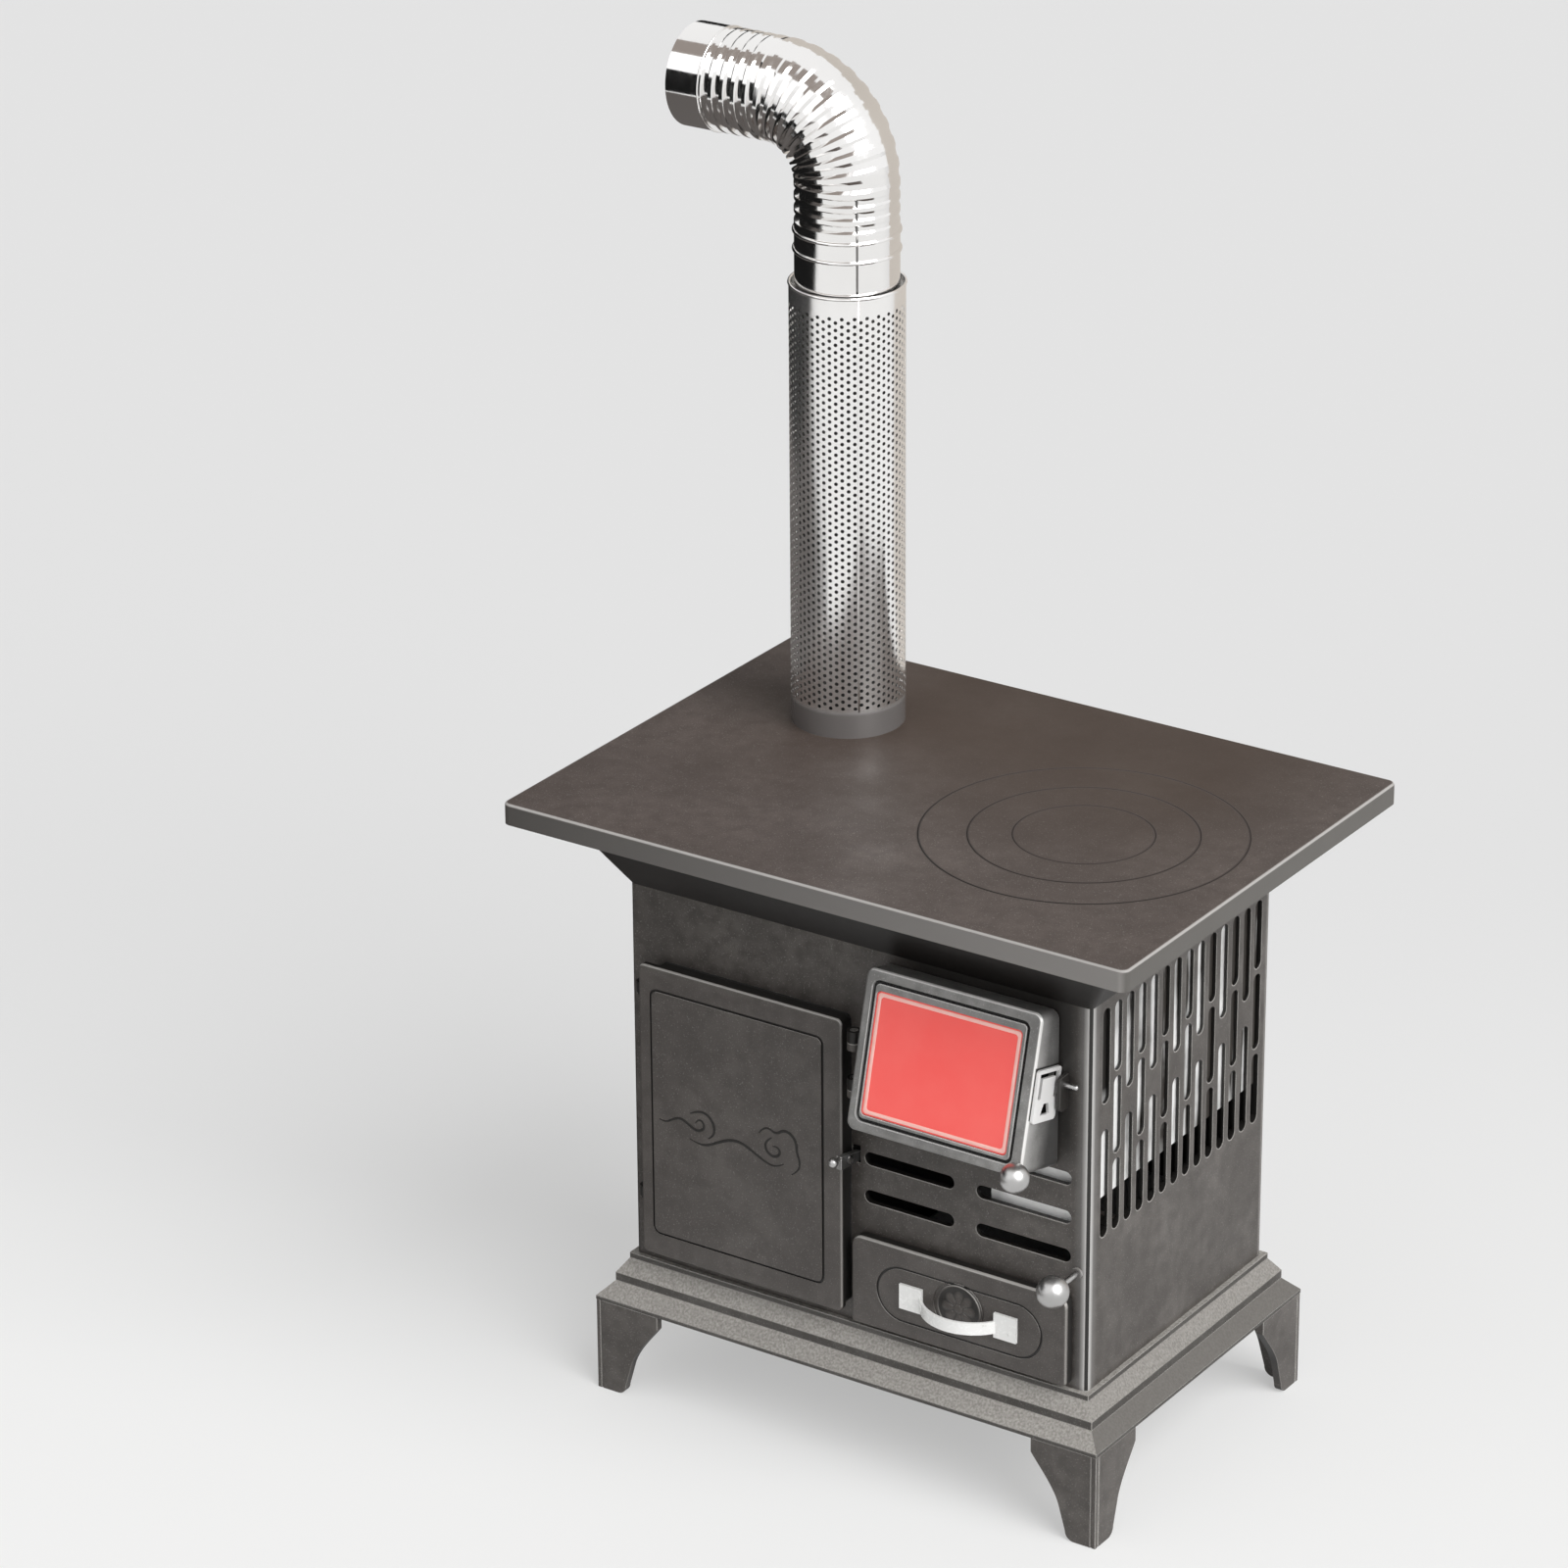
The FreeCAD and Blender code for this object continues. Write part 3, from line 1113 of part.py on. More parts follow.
def ash_tray():
    t = TRAY_T
    y0, y1 = DRAWER_FACE + DRAWER_FRONT_T, HY - TRAY_BACK
    z1 = TRAY_Z0 + TRAY_H
    tray = box(TRAY_X0, TRAY_X1, y0, y1, TRAY_Z0, z1)
    return tray.cut(box(TRAY_X0 + t, TRAY_X1 - t, y0 + t, y1 - t, TRAY_Z0 + t, z1))


def drawer_runners():
    y0, y1 = FRONT_IN, HY - TRAY_BACK
    return Part.makeCompound([
        box(x, x + RUNNER_W, y0, y1, Z_BODY, TRAY_Z0)
        for x in (TRAY_X0 + RUNNER_INSET, TRAY_X1 - RUNNER_INSET - RUNNER_W)])


def drawer_pull():
    """Pressed pull: two square plates on the drawer's face and a strap that bows out between them."""
    x_mid, z_mid = DRAWER_MID
    half_w, half_h = PULL_PLATE_W / 2, PULL_PLATE_H / 2
    plates = [box(x - half_w, x + half_w, PULL_FACE, DRAWER_FACE, z_mid - half_h, z_mid + half_h)
              for x in (x_mid - PULL_PITCH / 2, x_mid + PULL_PITCH / 2)]
    reach = PULL_PITCH / 2 - BOW_INSET
    radius = (reach ** 2 + BOW_OUT ** 2) / (2 * BOW_OUT)
    y_mid = PULL_FACE - BOW_OUT + radius
    z0 = z_mid - BOW_DROP - BOW_H / 2
    hoop = tube((x_mid, y_mid, z0), (x_mid, y_mid, z0 + BOW_H), radius, radius - BOW_T)
    front = box(x_mid - radius, x_mid + radius, y_mid - radius, PULL_FACE, z0, z0 + BOW_H)
    return fuse(plates + [hoop.common(front)])


# Flue

GUARD_Z1 = Z_TOP + GUARD_L
BEND_Z = GUARD_Z1 + SOCKET_RISE
SOCKET_R = PIPE_R + SOCKET_FIT + SOCKET_T
BEND_X = FLUE_X - BEND_R
TURN_Z = BEND_Z + CRIMP_RISE
OUTLET_X = BEND_X - CRIMP_RUN
OUTLET_Z = TURN_Z + BEND_R


def flue_ring(z0, z1, outer, inner):
    return tube((FLUE_X, FLUE_Y, z0), (FLUE_X, FLUE_Y, z1), outer, inner)


def flue_collar():
    """Spigot through the plate, flanged below, with a ledge inside for the pipe."""
    low = Z_PLATE - COLLAR_FLANGE_T
    sleeve = flue_ring(low, Z_TOP + COLLAR_RISE, COLLAR_R, PIPE_R)
    flange = flue_ring(low, Z_PLATE, COLLAR_R + COLLAR_FLANGE, PIPE_R)
    ledge = flue_ring(low, low + COLLAR_LEDGE, COLLAR_R, PIPE_R - COLLAR_LEDGE)
    return fuse([sleeve, flange, ledge])


def flue_pipe():
    return flue_ring(Z_PLATE - COLLAR_FLANGE_T + COLLAR_LEDGE, BEND_Z, PIPE_R, PIPE_R - PIPE_T)


def pipe_guard():
    rim = Part.makeTorus(GUARD_R - GUARD_T / 2, GUARD_RIM_R, Vector(FLUE_X, FLUE_Y, GUARD_Z1 - GUARD_RIM_R))
    return fuse([flue_ring(Z_TOP, GUARD_Z1 - GUARD_RIM_R, GUARD_R, GUARD_R - GUARD_T), rim])


def elbow_socket():
    sleeve = flue_ring(GUARD_Z1 - SOCKET_DIP, BEND_Z, SOCKET_R, PIPE_R + SOCKET_FIT)
    beads = [Part.makeTorus(SOCKET_R, BEAD_R, Vector(FLUE_X, FLUE_Y, GUARD_Z1 + BEAD_LOW + i * BEAD_PITCH))
             for i in range(2)]
    core = rod((FLUE_X, FLUE_Y, GUARD_Z1 - SOCKET_DIP), (FLUE_X, FLUE_Y, BEND_Z), PIPE_R + SOCKET_FIT)
    return fuse([sleeve] + beads).cut(core)


def bend_frame(s):
    """Centre and outward side of the elbow's path, a length s from its lower end."""
    arc = BEND_R * math.pi / 2
    if s < CRIMP_RISE:
        return Vector(FLUE_X, FLUE_Y, BEND_Z + s), X_AXIS
    if s > CRIMP_RISE + arc:
        return Vector(BEND_X - (s - CRIMP_RISE - arc), FLUE_Y, OUTLET_Z), Z_AXIS
    turn = (s - CRIMP_RISE) / BEND_R
    outward = Vector(math.cos(turn), 0, math.sin(turn))
    return Vector(BEND_X, FLUE_Y, TURN_Z) + outward * BEND_R, outward


def bend_ring(s, inner, outer):
    """A ring of the elbow, drawn in by different depths on its inner and outer sides."""
    centre, outward = bend_frame(s)
    shift = (inner - outer) / 2
    circle = Part.Circle(centre + outward * shift, Y_AXIS.cross(outward), SOCKET_R - (inner + outer) / 2)
    circle.XAxis = Y_AXIS
    return circle.toShape()


def elbow_bend():
    """Ninety-degree bend, crimped most on the inside where the sheet is gathered."""
    pitch = (CRIMP_RISE + BEND_R * math.pi / 2 + CRIMP_RUN) / CRIMPS
    rings = []
    for i in range(CRIMPS):
        for phase, deep in ((0.0, 0), (CRIMP_FLAT, 0), (0.5 - CRIMP_FLAT, 1), (0.5 + CRIMP_FLAT, 1),
                            (1 - CRIMP_FLAT, 0)):
            rings.append(bend_ring((i + phase) * pitch, deep * CRIMP_INNER, deep * CRIMP_OUTER))
    rings.append(bend_ring(CRIMPS * pitch, 0, 0))
    faces = [Part.makeRuledSurface(a, b) for a, b in zip(rings, rings[1:])]
    faces += [Part.Face(Part.Wire([ring])) for ring in (rings[0], rings[-1])]
    shell = Part.makeShell(faces)
    shell.sewShape()
    return Part.Solid(shell).cut(elbow_bore())


def elbow_bore():
    """Smooth bore that leaves one sheet thickness under the deepest crimps."""
    shift = (CRIMP_INNER - CRIMP_OUTER) / 2
    radius = SOCKET_R - (CRIMP_INNER + CRIMP_OUTER) / 2 - SOCKET_T
    rise = rod((FLUE_X + shift, FLUE_Y, BEND_Z), (FLUE_X + shift, FLUE_Y, TURN_Z), radius)
    run = rod((BEND_X, FLUE_Y, OUTLET_Z + shift), (OUTLET_X, FLUE_Y, OUTLET_Z + shift), radius)
    section = Part.Face(Part.Wire([Part.Circle(Vector(FLUE_X + shift, FLUE_Y, TURN_Z), Z_AXIS,
                                               radius).toShape()]))
    turn = section.revolve(Vector(BEND_X, FLUE_Y, TURN_Z), Vector(0, -1, 0), 90)
    return rise.multiFuse([turn, run])


def elbow_outlet():
    x0, x1 = OUTLET_X - OUTLET_L, OUTLET_X
    bead = Part.makeTorus(SOCKET_R, OUTLET_BEAD_R, Vector(x1 - OUTLET_BEAD_R, FLUE_Y, OUTLET_Z), X_AXIS)
    sleeve = rod((x0, FLUE_Y, OUTLET_Z), (x1, FLUE_Y, OUTLET_Z), SOCKET_R)
    return fuse([sleeve, bead]).cut(rod((x0, FLUE_Y, OUTLET_Z), (x1, FLUE_Y, OUTLET_Z), PIPE_R + SOCKET_FIT))


PIECES = [
    top_plate, hob_ring_outer, hob_ring_middle, hob_lid,
    cornice, front_panel, rear_panel, left_panel, right_panel, plinth, base_plate, leg_bolts,
    oven_door_plate, oven_door_pan, oven_door_gasket, oven_hinge_lugs, oven_hinge_pins,
    oven_latch_lever, oven_latch_pivot, oven_latch_knob, oven_box, oven_rack,
    fire_door_frame, fire_door_gasket, window_gasket, window_glass, window_bezel,
    window_film, glass_clips,
    fire_hinge_lugs, fire_hinge_pins, fire_door_knob, catch_plate, catch_keeper, catch_pin,
    partition_wall, firebox_floor, side_bricks, rear_brick, grate,
    shaker_link, shaker_rod, shaker_knob, shaker_bush, heat_shield, shield_spacers,
    ash_drawer_front, ash_tray, drawer_runners, drawer_pull,
    flue_collar, flue_pipe, pipe_guard, elbow_socket, elbow_bend, elbow_outlet,
]

os.makedirs("parts", exist_ok=True)
nodes = {piece.__name__: piece() for piece in PIECES}
front_left = leg()
nodes["leg_front_left"] = front_left
nodes["leg_front_right"] = mirrored_x(front_left)
nodes["leg_rear_left"] = mirrored_y(front_left)
nodes["leg_rear_right"] = mirrored_x(mirrored_y(front_left))
for name, shape in nodes.items():
    shape.exportStep(f"parts/{name}.step")
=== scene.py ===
import json
import math

import bmesh
import bpy
from mathutils import Matrix, Vector


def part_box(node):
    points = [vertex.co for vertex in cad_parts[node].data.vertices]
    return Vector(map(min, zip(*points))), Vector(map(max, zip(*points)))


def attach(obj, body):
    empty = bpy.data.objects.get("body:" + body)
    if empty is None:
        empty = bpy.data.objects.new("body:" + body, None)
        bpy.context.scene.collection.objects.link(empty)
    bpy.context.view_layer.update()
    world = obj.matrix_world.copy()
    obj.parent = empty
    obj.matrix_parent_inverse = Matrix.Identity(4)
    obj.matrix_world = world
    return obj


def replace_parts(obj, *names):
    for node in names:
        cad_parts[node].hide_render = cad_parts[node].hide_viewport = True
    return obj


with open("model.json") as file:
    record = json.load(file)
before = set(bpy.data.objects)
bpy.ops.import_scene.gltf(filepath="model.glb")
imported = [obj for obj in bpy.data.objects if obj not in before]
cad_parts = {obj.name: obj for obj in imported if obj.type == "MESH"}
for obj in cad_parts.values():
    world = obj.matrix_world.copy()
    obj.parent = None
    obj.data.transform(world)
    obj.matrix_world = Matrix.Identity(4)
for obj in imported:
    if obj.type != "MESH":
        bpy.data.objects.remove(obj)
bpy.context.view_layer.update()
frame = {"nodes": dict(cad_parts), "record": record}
nodes = frame["nodes"]

MM = 0.001
RIGHT = (1.0, 0.0, 0.0)
AHEAD = (0.0, -1.0, 0.0)
UP = (0.0, 0.0, 1.0)

FLUE_AXIS = Vector((-0.185, 0.102, 0.0))
BURNER = (0.160, -0.016)
BODY_HALF_WIDTH = 0.2625
BODY_HALF_DEPTH = 0.168

# The fire door leans back: the directions out of its face and up along it
FIRE_DOOR_TILT = math.radians(14.2)
LEAN_OUT = (0.0, -math.cos(FIRE_DOOR_TILT), math.sin(FIRE_DOOR_TILT))
LEAN_UP = (0.0, math.sin(FIRE_DOOR_TILT), math.cos(FIRE_DOOR_TILT))


# Shader nodes

MIX_FACTOR, MIX_FIRST, MIX_SECOND, MIX_RESULT = 0, 6, 7, 2
EDGE_REACH = 0.1


def feed(tree, socket, value):
    """Links a socket to another one, or sets its value."""
    if isinstance(value, bpy.types.NodeSocket):
        tree.links.new(value, socket)
    else:
        socket.default_value = value


def shader_node(tree, kind, inputs=None, **settings):
    """Adds a node; its inputs go by name, or by number where names repeat."""
    node = tree.nodes.new(kind)
    for name, value in settings.items():
        setattr(node, name, value)
    for name, value in (inputs or {}).items():
        feed(tree, node.inputs[name], value)
    return node


def colour_mix(tree, factor, first, second):
    """Blends two colours, each a socket or three numbers."""
    first, second = (c if isinstance(c, bpy.types.NodeSocket) else (*c, 1.0) for c in (first, second))
    inputs = {MIX_FACTOR: factor, MIX_FIRST: first, MIX_SECOND: second}
    return shader_node(tree, "ShaderNodeMix", inputs, data_type="RGBA").outputs[MIX_RESULT]


class Finish:
    """A procedural material on the Principled shader, laid out in the object's own coordinates."""

    def __init__(self, name, settings):
        self.material = bpy.data.materials.new(name)
        self.material.use_nodes = True
        self.tree = self.material.node_tree
        self.shader = self.tree.nodes["Principled BSDF"]
        for socket, value in settings.items():
            self.set(socket, value)
        self.place = self.add("ShaderNodeTexCoord").outputs["Object"]

    def add(self, kind, inputs=None, **settings):
        return shader_node(self.tree, kind, inputs, **settings)

    def set(self, socket, value):
        feed(self.tree, self.shader.inputs[socket], value)

    def noise(self, scale, detail=4.0, stretch=None):
        place = self.place
        if stretch:
            place = self.add("ShaderNodeMapping", {"Vector": place, "Scale": stretch}).outputs["Vector"]
        inputs = {"Vector": place, "Scale": scale, "Detail": detail}
        return self.add("ShaderNodeTexNoise", inputs).outputs["Fac"]

    def grains(self, scale):
        """Distance from the middle of the nearest grain."""
        inputs = {"Vector": self.place, "Scale": scale}
        return self.add("ShaderNodeTexVoronoi", inputs).outputs["Distance"]

    def spread(self, value, low, high, first=0.0, last=1.0):
        """Maps low to first and high to last."""
        limits = {"From Min": low, "From Max": high, "To Min": first, "To Max": last}
        return self.add("ShaderNodeMapRange", {"Value": value, **limits}).outputs["Result"]

    def math(self, operation, first, second=0.0):
        return self.add("ShaderNodeMath", {0: first, 1: second}, operation=operation).outputs["Value"]

    def both(self, first, *others):
        """The product of several shares: 1 only where each of them is 1."""
        for other in others:
            first = self.math("MULTIPLY", first, other)
        return first

    def window(self, value, low, full, still_full, high):
        """Rises from 0 at low to 1 at full, and falls from still_full to 0 at high."""
        return self.both(self.spread(value, low, full), self.spread(value, high, still_full))

    def blend(self, factor, first, second):
        return colour_mix(self.tree, factor, first, second)

    def shade(self, factor, colour):
        """Lays a colour over what the material already shows."""
        under = self.shader.inputs["Base Color"].links[0].from_socket
        self.set("Base Color", self.blend(factor, under, colour))

    def normal(self):
        return self.add("ShaderNodeNewGeometry").outputs["Normal"]

    def dot(self, first, second):
        node = self.add("ShaderNodeVectorMath", {0: first, 1: second}, operation="DOT_PRODUCT")
        return node.outputs["Value"]

    def facing(self, direction, low, high, first=0.0, last=1.0):
        """Maps how far a face looks in a direction, from -1 to 1, as spread does."""
        return self.spread(self.dot(self.normal(), direction), low, high, first, last)

    def edges(self, radius, towards=None):
        """1 along edges and 0 on flat faces; with a direction, only along edges that turn towards it."""
        rounded = self.add("ShaderNodeBevel", {"Radius": radius}, samples=4).outputs["Normal"]
        share = self.spread(self.dot(rounded, self.normal()), 1.0, 1.0 - EDGE_REACH)
        if towards:
            share = self.both(share, self.spread(self.dot(rounded, towards), 0.2, 0.65))
        return share

    def along(self, axis):
        return self.add("ShaderNodeSeparateXYZ", {"Vector": self.place}).outputs[axis]

    def between(self, axis, low, high):
        """1 where the place lies between two limits along an axis, given in millimetres."""
        along = self.along(axis)
        above = self.math("GREATER_THAN", along, low * MM)
        return self.both(above, self.math("LESS_THAN", along, high * MM))

    def within(self, left, right, low, high):
        """1 inside a box of the given limits across and up, in millimetres."""
        return self.both(self.between("X", left, right), self.between("Z", low, high))

    def from_axis(self, x, y):
        """Distance in plan from an upright axis."""
        plan = {"Vector": self.place, "Location": (-x, -y, 0.0), "Scale": (1.0, 1.0, 0.0)}
        flat = self.add("ShaderNodeMapping", plan).outputs["Vector"]
        return self.add("ShaderNodeVectorMath", {"Vector": flat}, operation="LENGTH").outputs["Value"]

    def bump(self, height, depth, strength=1.0):
        node = self.add("ShaderNodeBump", {"Height": height, "Distance": depth, "Strength": strength})
        under = self.shader.inputs["Normal"].links
        if under:
            feed(self.tree, node.inputs["Normal"], under[0].from_socket)
        self.set("Normal", node.outputs["Normal"])


# Cast iron

# Up and towards the key light: edges turned this way get wear that is also a painted highlight
LIT_AND_RUBBED = (0.55, -0.25, 0.80)
# Near black, for soot and for painted shade
SOOT_AND_SHADE = (0.009, 0.008, 0.007)
# Bare metal colour, used for wear and for the painted edge highlight
BARE_AND_HIGHLIT = (0.55, 0.53, 0.50)


def cast_iron(name, dark, light, gloss, wear_and_highlight=BARE_AND_HIGHLIT, grain=0.25, shine=0.5, plain=None):
    """Painted casting: cloudy tone, fine sand grain, bare metal where hands and cloths rub its edges, and a
    painted highlight on the edges that turn towards the key light.

    The edges within the plain box, in millimetres across and up, get neither the edge wear nor the painted
    highlight.
    """
    iron = Finish(name, {"Specular IOR Level": shine})
    clouds = iron.noise(11.0)
    mottle = iron.noise(60.0, 7.0)
    sand = iron.noise(700.0, 3.0)
    tone = iron.blend(iron.spread(clouds, 0.22, 0.78), dark, light)
    tone = iron.blend(iron.spread(mottle, 0.40, 0.64, 0.0, 0.7), tone, dark)
    tone = iron.blend(iron.spread(sand, 0.6, 0.8, 0.0, 0.3), tone, wear_and_highlight)
    # Wear on the edges that turn towards the key light, which is also a painted highlight
    rubbed_and_highlit = iron.edges(2.0 * MM, towards=LIT_AND_RUBBED)
    if plain:
        rubbed_and_highlit = iron.both(rubbed_and_highlit, iron.math("SUBTRACT", 1.0, iron.within(*plain)))
    rubbed_and_highlit = iron.both(rubbed_and_highlit, iron.spread(mottle, 0.3, 0.6, 0.6, 1.0))
    iron.set("Base Color", iron.blend(rubbed_and_highlit, tone, wear_and_highlight))
    iron.set("Roughness", iron.spread(clouds, 0.3, 0.7, gloss + 0.06, gloss - 0.06))
    iron.bump(sand, 0.25 * MM, grain)
    return iron


# Radius of each ring gap in millimetres, and how dark the painted shade in it is
RING_GAPS = {158: 1.0, 111: 0.85, 68: 0.6}


def hob_iron():
    """Blacked hob, darker towards the back; grey sides painted lighter to the right, a painted highlight
    round its top edge, and painted shade in its ring gaps.
    """
    hob = cast_iron("hob_iron", (0.068, 0.054, 0.048), (0.106, 0.085, 0.077), 0.53, grain=0.12, shine=0.2)
    across, back = hob.along("X"), hob.along("Y")
    darker_back = hob.both(hob.window(across, -0.33, -0.15, 0.20, 0.34), hob.spread(back, -0.13, 0.12, 0.0, 0.8))
    hob.shade(darker_back, (0.055, 0.038, 0.029))
    level = hob.facing(UP, 0.0, 1.0)
    # Painted light: the sides grow lighter towards the right, where the key light falls
    grey = hob.blend(hob.spread(across, -0.35, 0.35), (0.072, 0.068, 0.064), (0.25, 0.24, 0.23))
    hob.shade(hob.spread(level, 0.5, 0.1, 0.0, 0.9), grey)
    # Painted shade on the side that faces right
    hob.shade(hob.facing(RIGHT, 0.3, 0.8, 0.0, 0.85), (0.095, 0.090, 0.083))
    # Painted highlight along the rounded edge between the top and the sides
    hob.shade(hob.window(level, 0.2, 0.5, 0.9, 0.99), (0.40, 0.385, 0.37))
    away = hob.from_axis(*BURNER)
    # The painted shade in the gaps fades towards the back
    fading_back = hob.spread(back, -0.16, 0.12, 0.95, 0.2)
    for radius, gap_shade in RING_GAPS.items():
        off = hob.math("ABSOLUTE", hob.math("SUBTRACT", away, radius * MM))
        hob.shade(hob.spread(off, 2.4 * MM, 1.4 * MM), (0.070, 0.055, 0.050))
        line = hob.spread(off, 1.6 * MM, 0.6 * MM, 0.0, gap_shade)
        hob.shade(hob.both(line, fading_back), SOOT_AND_SHADE)
    hob.bump(hob.noise(240.0, 2.0, (1.0, 0.08, 1.0)), 0.1 * MM, 0.12)
    return hob.material


# Limits just inside the shell's outer faces, in millimetres: left, right, low, high, then front and back
BODY_INSIDE = (-262.1, 262.1, 149.5, 632.0)
BODY_INSIDE_DEPTH = (-167.6, 167.6)


def body_iron():
    """The painted shell: painted highlights down its right corner posts, soot and painted shade round the
    fire door, painted shade on faces that look down, as under the cornice, and near black inside.
    """
    shell = cast_iron("body_iron", (0.042, 0.036, 0.032), (0.108, 0.097, 0.088), 0.46)
    post = shell.from_axis(BODY_HALF_WIDTH, -BODY_HALF_DEPTH)
    # Painted highlight down the front right corner post
    shell.shade(shell.spread(post, 17.0 * MM, 5.0 * MM, 0.0, 0.8), (0.17, 0.165, 0.16))
    shell.shade(shell.spread(post, 9.0 * MM, 4.0 * MM), (0.44, 0.43, 0.42))
    # A fainter painted highlight down the back right corner post
    rear_post = shell.from_axis(BODY_HALF_WIDTH, BODY_HALF_DEPTH)
    shell.shade(shell.spread(rear_post, 9.0 * MM, 4.0 * MM, 0.0, 0.5), (0.22, 0.21, 0.20))
    # Soot and painted shade beside and above the fire door
    round_door = shell.window(shell.along("X"), 0.035, 0.075, 0.238, 0.252)
    shell.shade(shell.both(round_door, shell.spread(shell.along("Z"), 0.37, 0.42, 0.0, 0.85)), SOOT_AND_SHADE)
    # Painted shade on faces that look down, as under the cornice
    shell.shade(shell.facing(UP, -0.1, -0.4), (0.012, 0.010, 0.009))
    shell.shade(shell.both(shell.within(*BODY_INSIDE), shell.between("Y", *BODY_INSIDE_DEPTH)), SOOT_AND_SHADE)
    return shell.material


def plinth_iron():
    """Rough casting whose sloping bands are dusty and carry painted light, less where they face right, with
    dark upright bands.
    """
    base = cast_iron("plinth_iron", (0.040, 0.036, 0.032), (0.080, 0.074, 0.068), 0.55, grain=0.5)
    speckle = base.spread(base.noise(420.0, 6.0), 0.35, 0.65)
    dust_and_light = base.blend(speckle, (0.225, 0.212, 0.195), (0.38, 0.363, 0.338))
    # Painted shade on the bands that face right, more on the lower ones
    shaded = base.both(base.facing(RIGHT, 0.2, 0.5, 0.0, 0.85),
                       base.spread(base.along("Z"), 0.128, 0.118, 0.4, 1.0))
    # Faces that look up are painted pale, for their dusty surface and as painted light
    base.shade(base.facing(UP, 0.12, 0.3), base.blend(shaded, dust_and_light, (0.085, 0.079, 0.072)))
    return base.material


# Faces of the oven door and the drawer, and the plain box within the rim of each, in millimetres
OVEN_FACE = -191.0
OVEN_PLAIN = (-233.0, -10.0, 174.0, 476.0)
DRAWER_FACE = -183.0
DRAWER_PLAIN = (11.0, 240.5, 163.0, 246.0)
DOOR_GROOVE = 1.1
DOOR_RIM = 3.5
RIM_LIGHT = (0.35, -0.25, 0.90)


def door_iron(name, face, plain):
    """A blacked door: its rim carries a painted highlight where it turns to the light, its grooves painted
    shade, and the sides behind its face are black.
    """
    plate = cast_iron(name, (0.052, 0.045, 0.041), (0.092, 0.082, 0.075), 0.48, plain=plain)
    # Painted highlight on the rim where it turns towards the light
    rim = plate.both(plate.facing(AHEAD, 0.98, 0.85), plate.facing(RIM_LIGHT, 0.3, 0.65, 0.0, 0.85))
    plate.shade(rim, (0.42, 0.405, 0.385))
    # Painted shade in the grooves within the plain box
    groove = plate.both(plate.within(*plain), plate.between("Y", face + DOOR_GROOVE, 0.0))
    plate.shade(groove, SOOT_AND_SHADE)
    plate.shade(plate.between("Y", face + DOOR_RIM, 0.0), SOOT_AND_SHADE)
    return plate


def medallion_iron():
    """The drawer's iron, with painted shade in the hollows of the relief."""
    iron = door_iron("medallion_iron", DRAWER_FACE, DRAWER_PLAIN)
    hollow_shade = iron.spread(iron.along("Y"), (DRAWER_FACE - 1.1) * MM, (DRAWER_FACE - 0.3) * MM, 0.0, 0.85)
    iron.shade(hollow_shade, SOOT_AND_SHADE)
    return iron.material


def black_iron():
    """Pressed sheet behind the oven door, black all over."""
    sheet = cast_iron("black_iron", (0.008, 0.008, 0.007), (0.016, 0.015, 0.014), 0.5, (0.05, 0.048, 0.045))
    return sheet.material


# Where the fire door is painted with shade: a box at its hinge, and the seat of its catch on the cheek
HINGE_SIDE = (10.0, 32.8, 400.0, 500.0)
CATCH_OUT = (0.285, 0.286, 0.3265, 0.3275)
CATCH_UP = (0.384, 0.385, 0.435, 0.436)
CATCH_ACROSS = (226.0, 228.5)
CHEEK_MIDDLE = 0.308


def frame_iron():
    """Silver stove paint with painted highlights along raised edges and at the front of its cheek, and
    painted shade at the back of the cheek, at the hinge and round the catch.
    """
    silver = (0.90, 0.89, 0.87)
    paint = cast_iron("frame_iron", (0.155, 0.152, 0.148), (0.33, 0.325, 0.315), 0.36, silver, 0.15)
    paint.set("Metallic", paint.spread(paint.noise(30.0), 0.3, 0.7, 0.3, 0.45))
    # Painted highlight on raised edges that turn towards the light
    turned = paint.window(paint.dot(paint.normal(), LEAN_OUT), 0.05, 0.3, 0.88, 0.98)
    paint.shade(paint.both(turned, paint.facing(LIT_AND_RUBBED, 0.3, 0.6)), (0.88, 0.87, 0.85))
    out = paint.dot(paint.place, LEAN_OUT)
    up = paint.dot(paint.place, LEAN_UP)
    cheek = paint.facing(RIGHT, 0.5, 0.9)
    # Painted shade at the back of the cheek, and a painted highlight at its front
    paint.shade(paint.both(cheek, paint.spread(out, CHEEK_MIDDLE, 0.284, 0.0, 0.8)), (0.04, 0.039, 0.038))
    paint.shade(paint.both(cheek, paint.spread(out, CHEEK_MIDDLE, 0.328, 0.0, 0.6)), (0.62, 0.61, 0.60))
    # Painted shade at the hinge and round the catch
    paint.shade(paint.within(*HINGE_SIDE), SOOT_AND_SHADE)
    seat = paint.both(paint.window(out, *CATCH_OUT), paint.window(up, *CATCH_UP))
    paint.shade(paint.both(seat, paint.between("X", *CATCH_ACROSS)), SOOT_AND_SHADE)
    return paint.material


def grate_iron():
    """Bare fire-side iron, sooty, with rust in the hollows."""
    iron = cast_iron("grate_iron", (0.035, 0.033, 0.031), (0.07, 0.062, 0.056), 0.7, (0.2, 0.15, 0.11), 0.6)
    iron.shade(iron.spread(iron.noise(38.0, 6.0), 0.56, 0.7, 0.0, 0.7), (0.17, 0.075, 0.035))
    return iron.material


# Sheet metal

DRAWN_UPRIGHT = (1.0, 1.0, 0.04)
SMOKE_UPRIGHT = (1.0, 1.0, 0.05)
GUARD_FOOT_Z = (0.682, 0.676)


